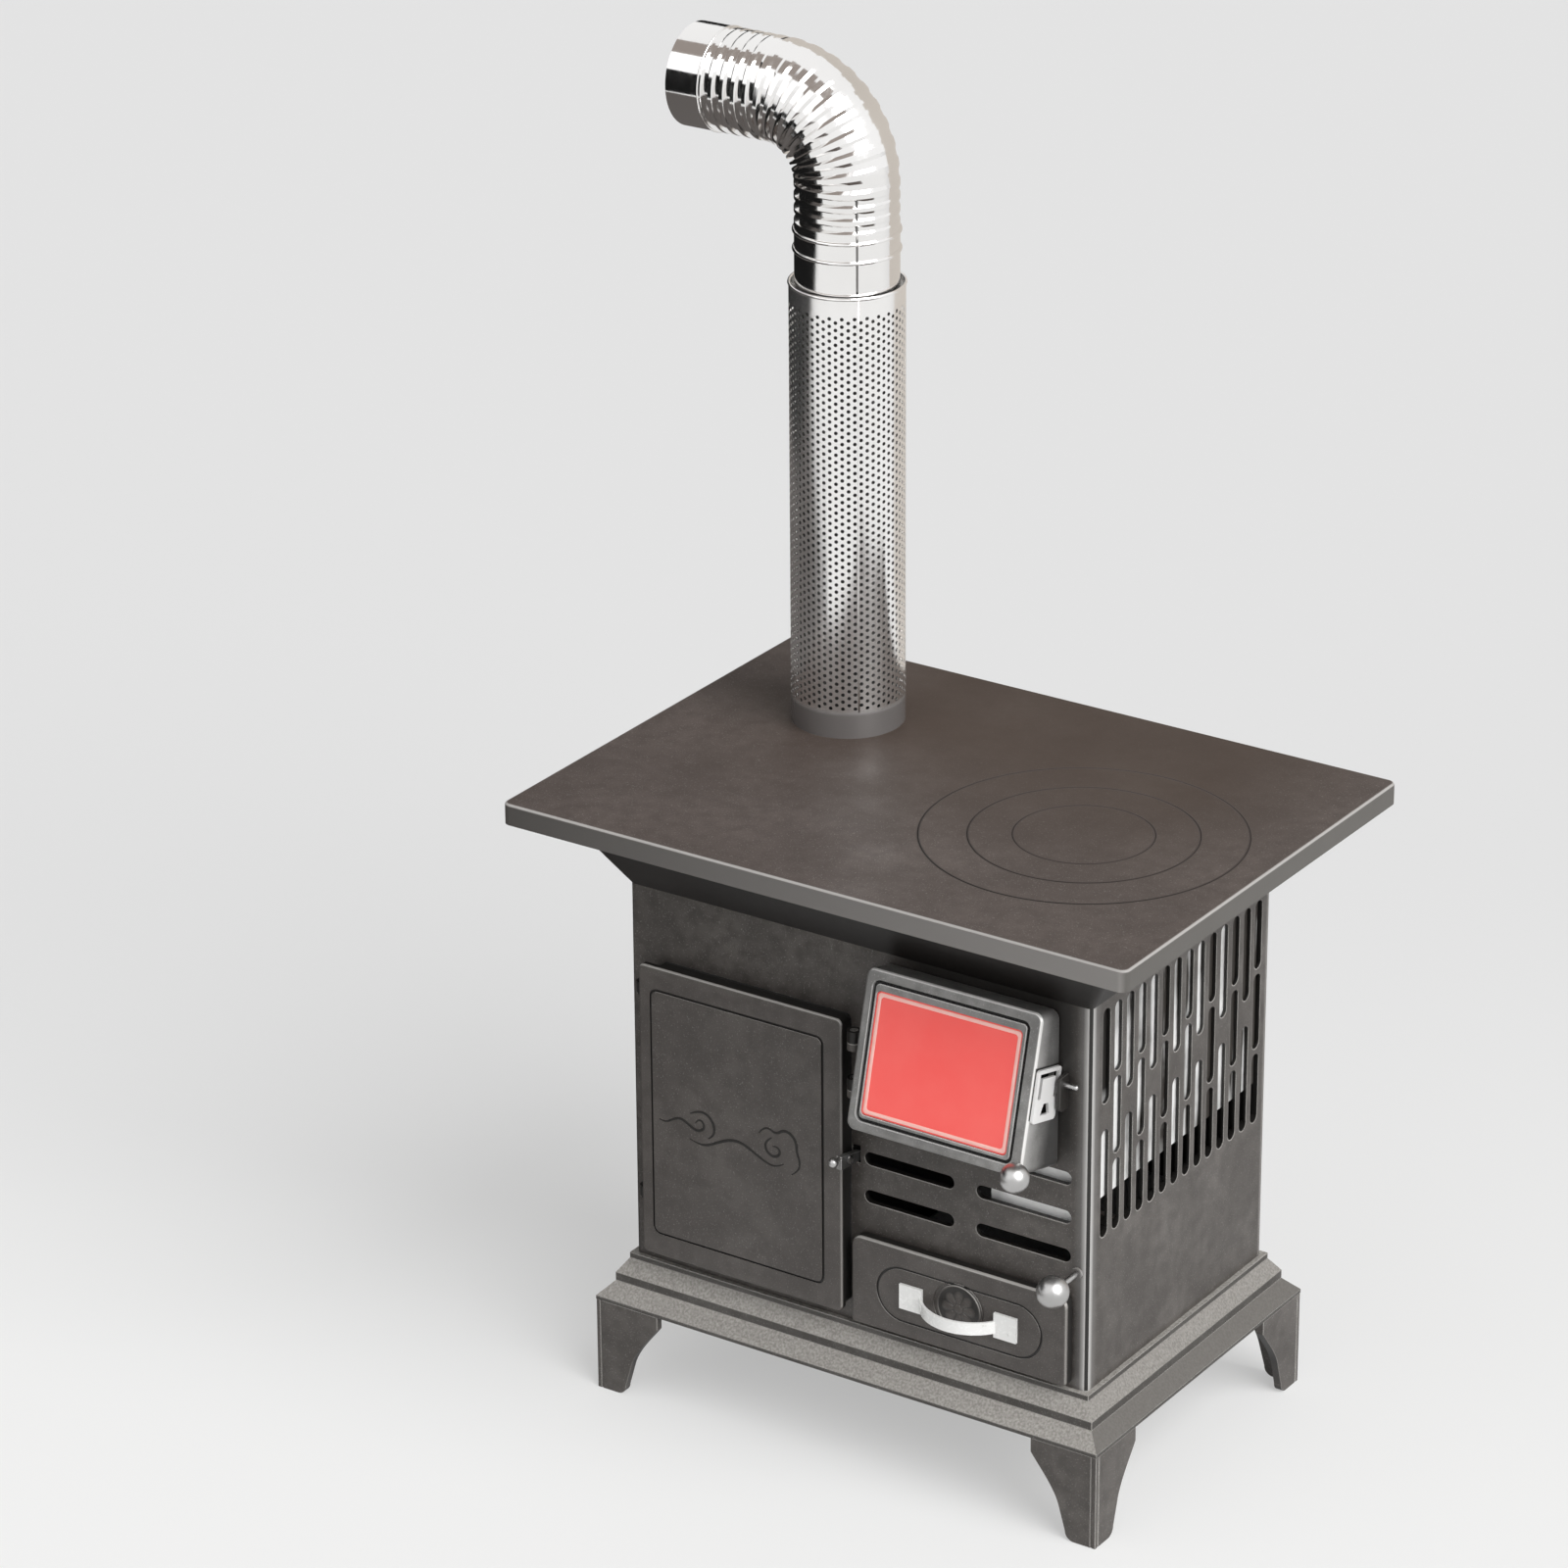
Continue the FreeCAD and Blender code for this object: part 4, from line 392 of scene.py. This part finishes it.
def sheet_metal(name, dark, light, gloss, depth=0.05):
    """Rolled metal with a little haze and fine upright drawing lines, whose depth is in millimetres."""
    sheet = Finish(name, {"Metallic": 1.0})
    lines = sheet.noise(420.0, 3.0, DRAWN_UPRIGHT)
    haze = sheet.noise(9.0)
    sheet.set("Base Color", sheet.blend(sheet.spread(haze, 0.3, 0.7), dark, light))
    rough = sheet.spread(haze, 0.3, 0.7, gloss - 0.03, gloss + 0.03)
    sheet.set("Roughness", sheet.math("ADD", rough, sheet.spread(lines, 0.3, 0.7, -0.03, 0.04)))
    sheet.bump(lines, depth * MM, 0.2)
    return sheet


def guard_steel():
    """Polished perforated sheet with a dull band at its foot."""
    sheet = sheet_metal("guard_steel", (0.90, 0.89, 0.88), (0.98, 0.97, 0.96), 0.17)
    foot = sheet.spread(sheet.along("Z"), *GUARD_FOOT_Z)
    sheet.shade(foot, (0.28, 0.265, 0.26))
    sheet.set("Metallic", sheet.spread(foot, 0.0, 1.0, 0.95, 0.55))
    return sheet.material


def bright_sheet():
    """Bright aluminised sheet behind the slots, with streaky painted shade towards the back and painted
    shade at the upper front corner.
    """
    sheet = sheet_metal("bright_sheet", (0.90, 0.90, 0.89), (0.97, 0.97, 0.96), 0.42)
    sheet.set("Metallic", 0.25)
    side = sheet.facing(RIGHT, 0.2, 0.8)
    # Painted shade towards the back, broken by upright streaks on the side and by clouds
    backward = sheet.spread(sheet.along("Y"), -0.15, 0.15, -0.18, 0.34)
    streaks = sheet.spread(sheet.noise(75.0, 3.0, SMOKE_UPRIGHT), 0.35, 0.65, -0.32, 0.32)
    stain_and_shade = sheet.math("ADD", sheet.math("ADD", backward, sheet.both(streaks, side)), sheet.noise(14.0))
    sheet.shade(sheet.spread(stain_and_shade, 0.35, 0.75), (0.05, 0.045, 0.04))
    # Painted shade at the upper front corner
    corner = sheet.both(sheet.spread(sheet.along("Y"), -0.124, -0.131),
                        sheet.spread(sheet.along("Z"), 0.43, 0.46), side)
    sheet.shade(corner, (0.02, 0.018, 0.016))
    return sheet.material


def catch_steel():
    """Bright plated steel, hazy enough to look pale from all sides."""
    plate = sheet_metal("catch_steel", (0.80, 0.79, 0.78), (0.90, 0.89, 0.88), 0.36)
    plate.set("Metallic", 0.35)
    return plate.material


# Enamel, film, glass, rope and brick

def white_enamel():
    """Glossy white enamel with a faint orange-peel surface."""
    enamel = Finish("white_enamel", {"Coat Weight": 0.3, "Coat Roughness": 0.08})
    peel = enamel.noise(260.0, 2.0)
    chips = enamel.spread(enamel.noise(120.0, 5.0), 0.68, 0.72, 0.0, 0.5)
    tone = enamel.blend(enamel.noise(14.0), (0.78, 0.78, 0.76), (0.88, 0.88, 0.87))
    enamel.set("Base Color", enamel.blend(chips, tone, (0.5, 0.48, 0.46)))
    enamel.set("Roughness", enamel.spread(peel, 0.3, 0.7, 0.22, 0.3))
    enamel.bump(peel, 0.1 * MM, 0.2)
    return enamel.material


def red_film():
    """Thin plain red film, a touch paler in patches, with a satin surface."""
    film = Finish("red_film", {"Specular IOR Level": 0.3})
    fade = film.spread(film.noise(16.0), 0.35, 0.65)
    film.set("Base Color", film.blend(fade, (0.985, 0.125, 0.111), (0.99, 0.150, 0.133)))
    film.set("Roughness", film.spread(film.noise(500.0), 0.3, 0.7, 0.34, 0.46))
    film.bump(film.noise(800.0, 2.0), 0.05 * MM, 0.1)
    return film.material


def pale_ink():
    """The pale line printed round the film."""
    ink = Finish("pale_ink", {"Specular IOR Level": 0.3})
    ink.set("Base Color", ink.blend(ink.noise(90.0), (0.95, 0.46, 0.41), (0.98, 0.64, 0.58)))
    ink.set("Roughness", ink.spread(ink.noise(400.0), 0.3, 0.7, 0.36, 0.46))
    return ink.material


def window_glass():
    """Clear ceramic glass with faint smears of smoke."""
    glass = Finish("window_glass", {"Transmission Weight": 1.0, "IOR": 1.5})
    smear = glass.noise(24.0, 5.0)
    glass.set("Base Color", glass.blend(smear, (0.94, 0.96, 0.95), (0.80, 0.76, 0.70)))
    glass.set("Roughness", glass.spread(smear, 0.4, 0.7, 0.02, 0.16))
    return glass.material


def rope_seal():
    """Black knitted glass-fibre rope."""
    rope = Finish("rope_seal", {"Roughness": 0.9})
    knit = rope.grains(620.0)
    tone = rope.blend(rope.spread(knit, 0.1, 0.6), (0.045, 0.044, 0.043), (0.012, 0.012, 0.012))
    rope.set("Base Color", tone)
    rope.bump(knit, 0.5 * MM, 0.7)
    return rope.material


def fire_brick():
    """Pale pressed brick with coarse grains and soot at its edges."""
    brick = Finish("fire_brick", {"Roughness": 0.92})
    tone = brick.blend(brick.noise(30.0, 6.0), (0.50, 0.42, 0.30), (0.70, 0.62, 0.48))
    tone = brick.blend(brick.spread(brick.grains(260.0), 0.12, 0.0), tone, (0.30, 0.22, 0.15))
    brick.set("Base Color", brick.blend(brick.edges(4 * MM), tone, (0.12, 0.11, 0.10)))
    brick.bump(brick.noise(320.0), 0.6 * MM, 0.5)
    return brick.material


def scroll_iron():
    """Near-black colour left in the carved line on the oven door."""
    line = Finish("scroll_iron", {"Specular IOR Level": 0.3})
    line.set("Base Color", line.blend(line.noise(180.0), (0.012, 0.011, 0.010), (0.028, 0.026, 0.024)))
    line.set("Roughness", line.spread(line.noise(500.0), 0.3, 0.7, 0.5, 0.7))
    return line.material


# Finishes by material slot, and three nodes that have one of their own

PLAIN_SHEETS = {
    "steel_sheet": ((0.24, 0.24, 0.24), (0.36, 0.36, 0.355), 0.42),
    "steel_parts": ((0.46, 0.455, 0.45), (0.60, 0.595, 0.59), 0.28),
    "polished_steel": ((0.44, 0.435, 0.43), (0.54, 0.535, 0.53), 0.32),
    "flue_steel": ((0.88, 0.87, 0.86), (0.95, 0.94, 0.93), 0.1, 0.03),
    # The flue pipe inside the guard is painted dark, as painted shade seen through the holes
    "shaded_pipe_steel": ((0.10, 0.098, 0.096), (0.17, 0.166, 0.162), 0.42),
    # The laps on the socket and the elbow are painted dark, as painted shade along the seam
    "shaded_seam_steel": ((0.16, 0.155, 0.15), (0.24, 0.235, 0.23), 0.3),
}
FINISHES = {name: sheet_metal(name, *tones).material for name, tones in PLAIN_SHEETS.items()}
FINISHES |= {
    "hob_iron": hob_iron(),
    "body_iron": body_iron(),
    "plinth_iron": plinth_iron(),
    "door_iron": door_iron("door_iron", OVEN_FACE, OVEN_PLAIN).material,
    "drawer_iron": door_iron("drawer_iron", DRAWER_FACE, DRAWER_PLAIN).material,
    "black_iron": black_iron(),
    "frame_iron": frame_iron(),
    "grate_iron": grate_iron(),
    "bright_sheet": bright_sheet(),
    "guard_steel": guard_steel(),
    "catch_steel": catch_steel(),
    "white_enamel": white_enamel(),
    "window_glass": window_glass(),
    "red_film": red_film(),
    "rope_seal": rope_seal(),
    "fire_brick": fire_brick(),
}
OWN_FINISH = {"ash_drawer_front": "drawer_iron", "flue_pipe": "shaded_pipe_steel", "catch_plate": "catch_steel"}

for part in frame["record"]["subparts"]:
    mesh = nodes[part["node"]].data
    mesh.materials.clear()
    mesh.materials.append(FINISHES[OWN_FINISH.get(part["node"], part["material_slot"])])


# Pieces that the solids leave to the scene

def piece(name, mesh, material, body_name):
    """Makes an object of a mesh, and lets it ride on a body of the frame."""
    obj = bpy.data.objects.new(name, mesh)
    bpy.context.scene.collection.objects.link(obj)
    mesh.materials.append(material)
    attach(obj, body_name)
    return obj


def to_mesh(bm, name, sharp=None):
    """Closes a bmesh into a smooth mesh; edges steeper than sharp, in degrees, stay sharp."""
    bmesh.ops.remove_doubles(bm, verts=bm.verts, dist=0.02 * MM)
    bmesh.ops.recalc_face_normals(bm, faces=bm.faces)
    mesh = bpy.data.meshes.new(name)
    bm.to_mesh(mesh)
    bm.free()
    for face in mesh.polygons:
        face.use_smooth = True
    if sharp:
        mesh.set_sharp_from_angle(angle=math.radians(sharp))
    return mesh


def skin(bm, loops, closed=False):
    """Joins each loop of points to the next by a band of faces; closed also joins the last to the first."""
    for a, b in zip(loops, loops[1:] + (loops[:1] if closed else [])):
        for k in range(len(a)):
            j = (k + 1) % len(a)
            bm.faces.new((a[k], a[j], b[j], b[k]))


def round_flue(radius, angle, z):
    return FLUE_AXIS + Vector((radius * math.cos(angle), radius * math.sin(angle), z))


GUARD_COLUMNS = 58
GUARD_HALF_TURN = math.pi / GUARD_COLUMNS
GUARD_PITCH = 7.5 * MM
GUARD_HALF = GUARD_PITCH / 2
GUARD_HOLE_R = 1.95 * MM
GUARD_FOOT = 28 * MM
GUARD_HEAD = 14 * MM
GUARD_SHEET = 1.0 * MM
GUARD_RIM = 1.6 * MM
GUARD_RIM_SIDES = 10
GUARD_SHARP = 40
COMPASS = ((1, 0), (1, 1), (0, 1), (-1, 1), (-1, 0), (-1, -1), (0, -1), (1, -1))


def guard_cell(bm, radius, angle, z):
    """One hole of the guard with the sheet around it, whose border points its neighbours share."""
    ring, border = [], []
    for across, up in COMPASS:
        length = math.hypot(across, up)
        turn = across / length * GUARD_HOLE_R / radius
        ring.append(bm.verts.new(round_flue(radius, angle + turn, z + up / length * GUARD_HOLE_R)))
        turn = across * GUARD_HALF_TURN
        border.append(bm.verts.new(round_flue(radius, angle + turn, z + up * GUARD_HALF)))
    for i in range(len(COMPASS)):
        j = (i + 1) % len(COMPASS)
        bm.faces.new((ring[i], border[i], border[j], ring[j]))


def guard_band(bm, radius, angle, heights):
    """A plain strip of the guard, one column wide, between the given heights."""
    for low, high in zip(heights, heights[1:]):
        for start in (-GUARD_HALF_TURN, 0.0):
            end = start + GUARD_HALF_TURN
            corners = ((start, low), (end, low), (end, high), (start, high))
            bm.faces.new([bm.verts.new(round_flue(radius, angle + a, z)) for a, z in corners])


def guard_rim(bm, radius, top):
    """The bead that is rolled round the guard's upper edge."""
    loops = []
    for i in range(2 * GUARD_COLUMNS):
        loop = []
        for k in range(GUARD_RIM_SIDES):
            t = 2 * math.pi * k / GUARD_RIM_SIDES
            r = radius - GUARD_SHEET / 2 + GUARD_RIM * math.cos(t)
            z = top - GUARD_RIM + GUARD_RIM * math.sin(t)
            loop.append(bm.verts.new(round_flue(r, GUARD_HALF_TURN * i, z)))
        loops.append(loop)
    skin(bm, loops, closed=True)


def perforated_guard():
    """The guard round the flue: staggered rows of round holes between two plain bands and a rolled rim."""
    low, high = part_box("pipe_guard")
    radius = (high.x - low.x) / 2 - GUARD_RIM
    first = low.z + GUARD_FOOT
    rows = int((high.z - GUARD_HEAD - first) / GUARD_PITCH)
    last = first + rows * GUARD_PITCH
    foot = [low.z, first - GUARD_HALF, first, first + GUARD_HALF]
    head = [last - GUARD_HALF, last, last + GUARD_HALF, high.z - GUARD_RIM]
    bm = bmesh.new()
    for column in range(GUARD_COLUMNS):
        angle = 2 * GUARD_HALF_TURN * column
        raised = column % 2
        lowest = first + GUARD_HALF * raised + GUARD_HALF
        for row in range(rows - raised):
            guard_cell(bm, radius, angle, lowest + row * GUARD_PITCH)
        guard_band(bm, radius, angle, foot[:3 + raised])
        guard_band(bm, radius, angle, head[1 - raised:])
    bmesh.ops.remove_doubles(bm, verts=bm.verts, dist=0.05 * MM)
    bmesh.ops.recalc_face_normals(bm, faces=bm.faces)
    bmesh.ops.solidify(bm, geom=bm.faces[:], thickness=GUARD_SHEET)
    guard_rim(bm, radius, high.z)
    mesh = to_mesh(bm, "perforated_guard", GUARD_SHARP)
    guard = piece("perforated_guard", mesh, FINISHES["guard_steel"], "stove")
    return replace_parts(guard, "pipe_guard")


SEAM_TURN = math.radians(-46)
SEAM_HALF_WIDTH = 1.2 * MM
SEAM_RISE = 0.5 * MM
SEAM_STEPS = 12
SEAM_PROFILE = ((-1.0, -0.3), (-0.6, 1.0), (0.6, 1.0), (1.0, -0.3))


def lap_seam(name, radius, low, high, finish, body_name):
    """The narrow raised lap where a rolled pipe is closed."""
    bm = bmesh.new()
    rows = []
    for i in range(SEAM_STEPS + 1):
        z = low + (high - low) * i / SEAM_STEPS
        row = []
        for across, out in SEAM_PROFILE:
            angle = SEAM_TURN + SEAM_HALF_WIDTH * across / radius
            row.append(bm.verts.new(round_flue(radius + SEAM_RISE * out, angle, z)))
        rows.append(row)
    skin(bm, rows)
    bm.faces.new(rows[0])
    bm.faces.new(rows[-1])
    return piece(name, to_mesh(bm, name), FINISHES[finish], body_name)


def rounded_loop(width, height, radius, steps=8):
    """Points of a rounded rectangle about the origin."""
    points = []
    for i, (sx, sy) in enumerate(((1, 1), (-1, 1), (-1, -1), (1, -1))):
        for k in range(steps + 1):
            t = (i + k / steps) * math.pi / 2
            points.append((sx * (width / 2 - radius) + radius * math.cos(t),
                           sy * (height / 2 - radius) + radius * math.sin(t)))
    return points


# Section of the line round the film: margin from its edge and rise over its middle, in millimetres
KEYLINE = ((1.4, 0.15), (1.7, 0.32), (4.9, 0.32), (5.2, 0.15))
KEYLINE_CORNER = 3.5 * MM


def film_keyline():
    """The pale line round the red film, a thin raised print on its leaning face."""
    low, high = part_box("window_film")
    middle = (low + high) / 2
    width = high.x - low.x
    height = (high.z - low.z) / math.cos(FIRE_DOOR_TILT)
    out, up = Vector(LEAN_OUT), Vector(LEAN_UP)
    bm = bmesh.new()
    loops = []
    for margin, rise in KEYLINE:
        m = margin * MM
        loop = rounded_loop(width - 2 * m, height - 2 * m, KEYLINE_CORNER)
        loops.append([bm.verts.new(middle + Vector((x, 0, 0)) + up * y + out * rise * MM) for x, y in loop])
    skin(bm, loops, closed=True)
    return piece("film_keyline", to_mesh(bm, "film_keyline"), pale_ink(), "fire_door")


# Cloud scroll on the oven door: the lines of its two curls, across and up the face in millimetres
SCROLL = [
    [(-216, 320), (-209, 318), (-200, 324), (-191, 328), (-182, 324), (-175, 320), (-169, 319), (-162, 324),
     (-164, 331), (-170, 332), (-173, 327)],
    [(-179, 336), (-170, 341), (-160, 341), (-153, 335), (-150, 327), (-152, 318), (-158, 314)],
    [(-180, 308), (-170, 305), (-159, 306), (-145, 314), (-132, 320), (-119, 321), (-104, 314), (-90, 307),
     (-78, 305), (-69, 311)],
    [(-83, 336), (-91, 330), (-90, 320), (-81, 315), (-73, 320), (-75, 328), (-82, 327)],
    [(-98, 337), (-95, 342), (-87, 346), (-78, 341), (-69, 348), (-60, 346), (-54, 338), (-54, 328),
     (-50, 318), (-52, 308), (-60, 302)],
]
SCROLL_R = 1.7 * MM
SCROLL_FLATNESS = 0.35


def cloud_scroll():
    """Fine dark scroll lines, thick in the middle and pointed at their ends."""
    curve = bpy.data.curves.new("scroll_lines", "CURVE")
    curve.dimensions = "3D"
    curve.bevel_depth = SCROLL_R
    curve.bevel_resolution = 3
    curve.resolution_u = 10
    for line in SCROLL:
        spline = curve.splines.new("NURBS")
        spline.points.add(len(line) - 1)
        for i, (x, z) in enumerate(line):
            spline.points[i].co = (x * MM, 0.0, z * MM, 1.0)
            spline.points[i].radius = 0.3 + 0.7 * math.sin(math.pi * (i + 0.3) / (len(line) - 0.4))
        spline.order_u = 3
        spline.use_endpoint_u = True
    drawn = bpy.data.objects.new("scroll_lines", curve)
    bpy.context.scene.collection.objects.link(drawn)
    mesh = bpy.data.meshes.new_from_object(drawn.evaluated_get(bpy.context.evaluated_depsgraph_get()))
    bpy.data.objects.remove(drawn)
    on_face = Matrix.Translation((0, OVEN_FACE * MM, 0))
    mesh.transform(on_face @ Matrix.Diagonal((1, SCROLL_FLATNESS, 1, 1)))
    mesh.materials.clear()
    return piece("cloud_scroll", mesh, scroll_iron(), "oven_door")


# Rosette on the drawer: its middle on the face, and its sizes in millimetres
ROSETTE = Vector((0.12715, -0.183, 0.2062))
ROSETTE_R = 25.5
ROSETTE_RIM_R = 24.2
ROSETTE_RIM_W = 1.1
ROSETTE_PETALS = 8
ROSETTE_PETAL_R = 20.0
ROSETTE_NOTCH = 3.5
ROSETTE_BOSS_R = 5.5
ROSETTE_HEIGHT = 1.3
ROSETTE_GROUND = 0.1
ROSETTE_SUNK = 0.2
ROSETTE_TURNS = 128
ROSETTE_STEPS = 34


def rosette_height(r, angle):
    """Relief in millimetres: a round rim, eight petals and a boss."""
    wave = abs(math.cos(ROSETTE_PETALS / 2 * angle))
    rim = math.exp(-((r - ROSETTE_RIM_R) / ROSETTE_RIM_W) ** 2)
    tip = ROSETTE_PETAL_R - ROSETTE_NOTCH * (1 - wave)
    petal = max(0.0, 1 - (r / tip) ** 6) * (0.35 + 0.65 * wave ** 0.7)
    boss = 1.2 * math.sqrt(max(0.0, 1 - (r / ROSETTE_BOSS_R) ** 2))
    return ROSETTE_GROUND + ROSETTE_HEIGHT * max(rim, petal * min(1.0, r / 8.0), boss)


def medallion_rosette():
    """A plain rosette in low relief within the round groove of the drawer."""
    bm = bmesh.new()
    centre = bm.verts.new(ROSETTE - Vector((0, rosette_height(0.0, 0.0) * MM, 0)))
    loops = []
    for i in range(1, ROSETTE_STEPS + 1):
        r = ROSETTE_R * i / ROSETTE_STEPS
        loop = []
        for k in range(ROSETTE_TURNS):
            angle = 2 * math.pi * k / ROSETTE_TURNS
            out = rosette_height(r, angle) if i < ROSETTE_STEPS else -ROSETTE_SUNK
            place = Vector((r * math.cos(angle), -out, r * math.sin(angle)))
            loop.append(bm.verts.new(ROSETTE + place * MM))
        loops.append(loop)
    for k in range(ROSETTE_TURNS):
        bm.faces.new((centre, loops[0][k], loops[0][(k + 1) % ROSETTE_TURNS]))
    skin(bm, loops[::-1])
    mesh = to_mesh(bm, "medallion_rosette")
    return piece("medallion_rosette", mesh, medallion_iron(), "ash_drawer")


perforated_guard()
film_keyline()
cloud_scroll()
medallion_rosette()
guard_low, guard_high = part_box("pipe_guard")
lap_seam("guard_seam", 56.9 * MM, guard_low.z + GUARD_FOOT, guard_high.z - 3 * MM,
         "guard_steel", "stove")
lap_seam("socket_seam", 51.3 * MM, guard_high.z + 2 * MM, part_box("elbow_socket")[1].z,
         "shaded_seam_steel", "flue_elbow")
lap_seam("elbow_seam", 50.6 * MM, 1.170, 1.209, "shaded_seam_steel", "flue_elbow")


# Floor, light and camera

FLOOR_REACH = 30.0
FLOOR_Z = -0.0004
FLOOR_NEAR = (0.885, 0.885, 0.88)
FLOOR_FAR = (0.765, 0.765, 0.765)
FLOOR_BACKWARD = (-0.558, 0.830, 0.0)
FLOOR_FADE = {"From Min": -0.5, "From Max": 1.4}
FLOOR_GLOW = 0.5
WORLD_LIGHT = {"To Min": 0.30, "To Max": 0.95}


def seen_directly(tree):
    """1 for rays from the camera, a mirror or glass, and 0 for the light that falls on things."""
    path = shader_node(tree, "ShaderNodeLightPath").outputs
    either = path["Is Camera Ray"]
    for other in ("Is Glossy Ray", "Is Transmission Ray"):
        larger = shader_node(tree, "ShaderNodeMath", {0: either, 1: path[other]}, operation="MAXIMUM")
        either = larger.outputs["Value"]
    return either


def bare_material(name):
    """A material without nodes, and its tree."""
    material = bpy.data.materials.new(name)
    material.use_nodes = True
    material.node_tree.nodes.clear()
    return material, material.node_tree


def studio_floor():
    """A pale floor that greys a little with distance and keeps a soft part of the shadow."""
    material, tree = bare_material("studio_floor")
    place = shader_node(tree, "ShaderNodeTexCoord").outputs["Object"]
    away = shader_node(tree, "ShaderNodeVectorMath", {0: place, 1: FLOOR_BACKWARD}, operation="DOT_PRODUCT")
    fade = shader_node(tree, "ShaderNodeMapRange", {"Value": away.outputs["Value"], **FLOOR_FADE},
                       interpolation_type="SMOOTHSTEP")
    tone = colour_mix(tree, fade.outputs["Result"], FLOOR_NEAR, FLOOR_FAR)
    paper = shader_node(tree, "ShaderNodeBsdfDiffuse", {"Color": tone}).outputs["BSDF"]
    glow = shader_node(tree, "ShaderNodeEmission", {"Color": tone}).outputs["Emission"]
    seen = seen_directly(tree)
    share = shader_node(tree, "ShaderNodeMath", {0: seen, 1: FLOOR_GLOW}, operation="MULTIPLY")
    mix = shader_node(tree, "ShaderNodeMixShader", {"Fac": share.outputs["Value"], 1: paper, 2: glow})
    shader_node(tree, "ShaderNodeOutputMaterial", {"Surface": mix.outputs["Shader"]})
    return material


def flat_sheet(name, corners, material):
    mesh = bpy.data.meshes.new(name)
    mesh.from_pydata(corners, [], [tuple(range(len(corners)))])
    mesh.materials.append(material)
    obj = bpy.data.objects.new(name, mesh)
    bpy.context.scene.collection.objects.link(obj)
    return obj


def reflector(name, corners, colour):
    """A card beside the set that only shows in polished metal."""
    material, tree = bare_material(name)
    glow = shader_node(tree, "ShaderNodeEmission", {"Color": (*colour, 1.0)})
    shader_node(tree, "ShaderNodeOutputMaterial", {"Surface": glow.outputs["Emission"]})
    card = flat_sheet(name, corners, material)
    card.visible_camera = False
    card.visible_diffuse = False
    card.visible_shadow = False
    card.visible_transmission = False


def standing(azimuth, distance, width, low, high):
    """Corners of an upright card that faces the flue."""
    turn = math.radians(azimuth)
    middle = FLUE_AXIS + Vector((math.cos(turn), math.sin(turn), 0)) * distance
    side = Vector((-math.sin(turn), math.cos(turn), 0)) * width / 2
    return [middle + k * side + Vector((0, 0, z)) for k, z in ((-1, low), (1, low), (1, high), (-1, high))]


def lying(left, right, front, back, z):
    """Corners of a level card."""
    return [(left, front, z), (right, front, z), (right, back, z), (left, back, z)]


def sun(name, towards, strength, angle):
    """A lamp in the given direction, as wide as the angle in degrees."""
    lamp = bpy.data.lights.new(name, "SUN")
    lamp.energy = strength
    lamp.angle = math.radians(angle)
    obj = bpy.data.objects.new(name, lamp)
    obj.rotation_euler = Vector(towards).to_track_quat("Z", "Y").to_euler()
    bpy.context.scene.collection.objects.link(obj)


def studio_world():
    """White all round, brighter where it is seen than where it lights."""
    world = bpy.data.worlds.new("studio")
    bpy.context.scene.world = world
    world.use_nodes = True
    tree = world.node_tree
    strength = shader_node(tree, "ShaderNodeMapRange", {"Value": seen_directly(tree), **WORLD_LIGHT})
    background = tree.nodes["Background"].inputs
    feed(tree, background["Strength"], strength.outputs["Result"])
    feed(tree, background["Color"], (1.0, 1.0, 1.0, 1.0))


CAMERA_PLACE = (2.8796, -4.56985, 3.03287)
CAMERA_TURN_PITCH_ROLL = (33.925, 23.712, -0.42)
CAMERA_SENSOR = 36.0
CAMERA_LENS = 140.19
CAMERA_CLIP = 200.0


def photo_camera():
    """The photograph's viewpoint: a long lens, up and to the right of the front."""
    turn, pitch, roll = (math.radians(angle) for angle in CAMERA_TURN_PITCH_ROLL)
    ahead = Vector((-math.sin(turn) * math.cos(pitch), math.cos(turn) * math.cos(pitch), -math.sin(pitch)))
    right = Vector((math.cos(turn), math.sin(turn), 0.0))
    up = right.cross(ahead)
    right, up = (math.cos(roll) * right + math.sin(roll) * up, math.cos(roll) * up - math.sin(roll) * right)
    data = bpy.data.cameras.new("camera")
    data.sensor_fit = "HORIZONTAL"
    data.sensor_width = CAMERA_SENSOR
    data.lens = CAMERA_LENS
    data.clip_end = CAMERA_CLIP
    camera = bpy.data.objects.new("camera", data)
    camera.matrix_world = Matrix((right, up, -ahead)).transposed().to_4x4()
    camera.location = CAMERA_PLACE
    bpy.context.scene.collection.objects.link(camera)
    bpy.context.scene.camera = camera


flat_sheet("floor", lying(-FLOOR_REACH, FLOOR_REACH, -FLOOR_REACH, FLOOR_REACH, FLOOR_Z), studio_floor())
reflector("dark_card", standing(181.5, 1.3, 4.1, 0.45, 1.84), (0.01, 0.01, 0.01))
reflector("dark_floor", lying(-4.0, -0.45, -2.0, 3.0, 0.002), (0.12, 0.11, 0.105))
reflector("grey_roof", lying(-2.6, 0.9, -1.15, 0.03, 3.2), (0.33, 0.29, 0.265))
reflector("warm_card", standing(86.0, 1.6, 2.6, 0.0, 2.6), (0.60, 0.555, 0.505))
sun("key", (0.80, -0.22, 0.70), 3.1, 50.0)
sun("fill", (-0.25, -0.75, 0.75), 0.35, 70.0)
studio_world()
photo_camera()
bpy.context.scene.view_settings.view_transform = "Standard"
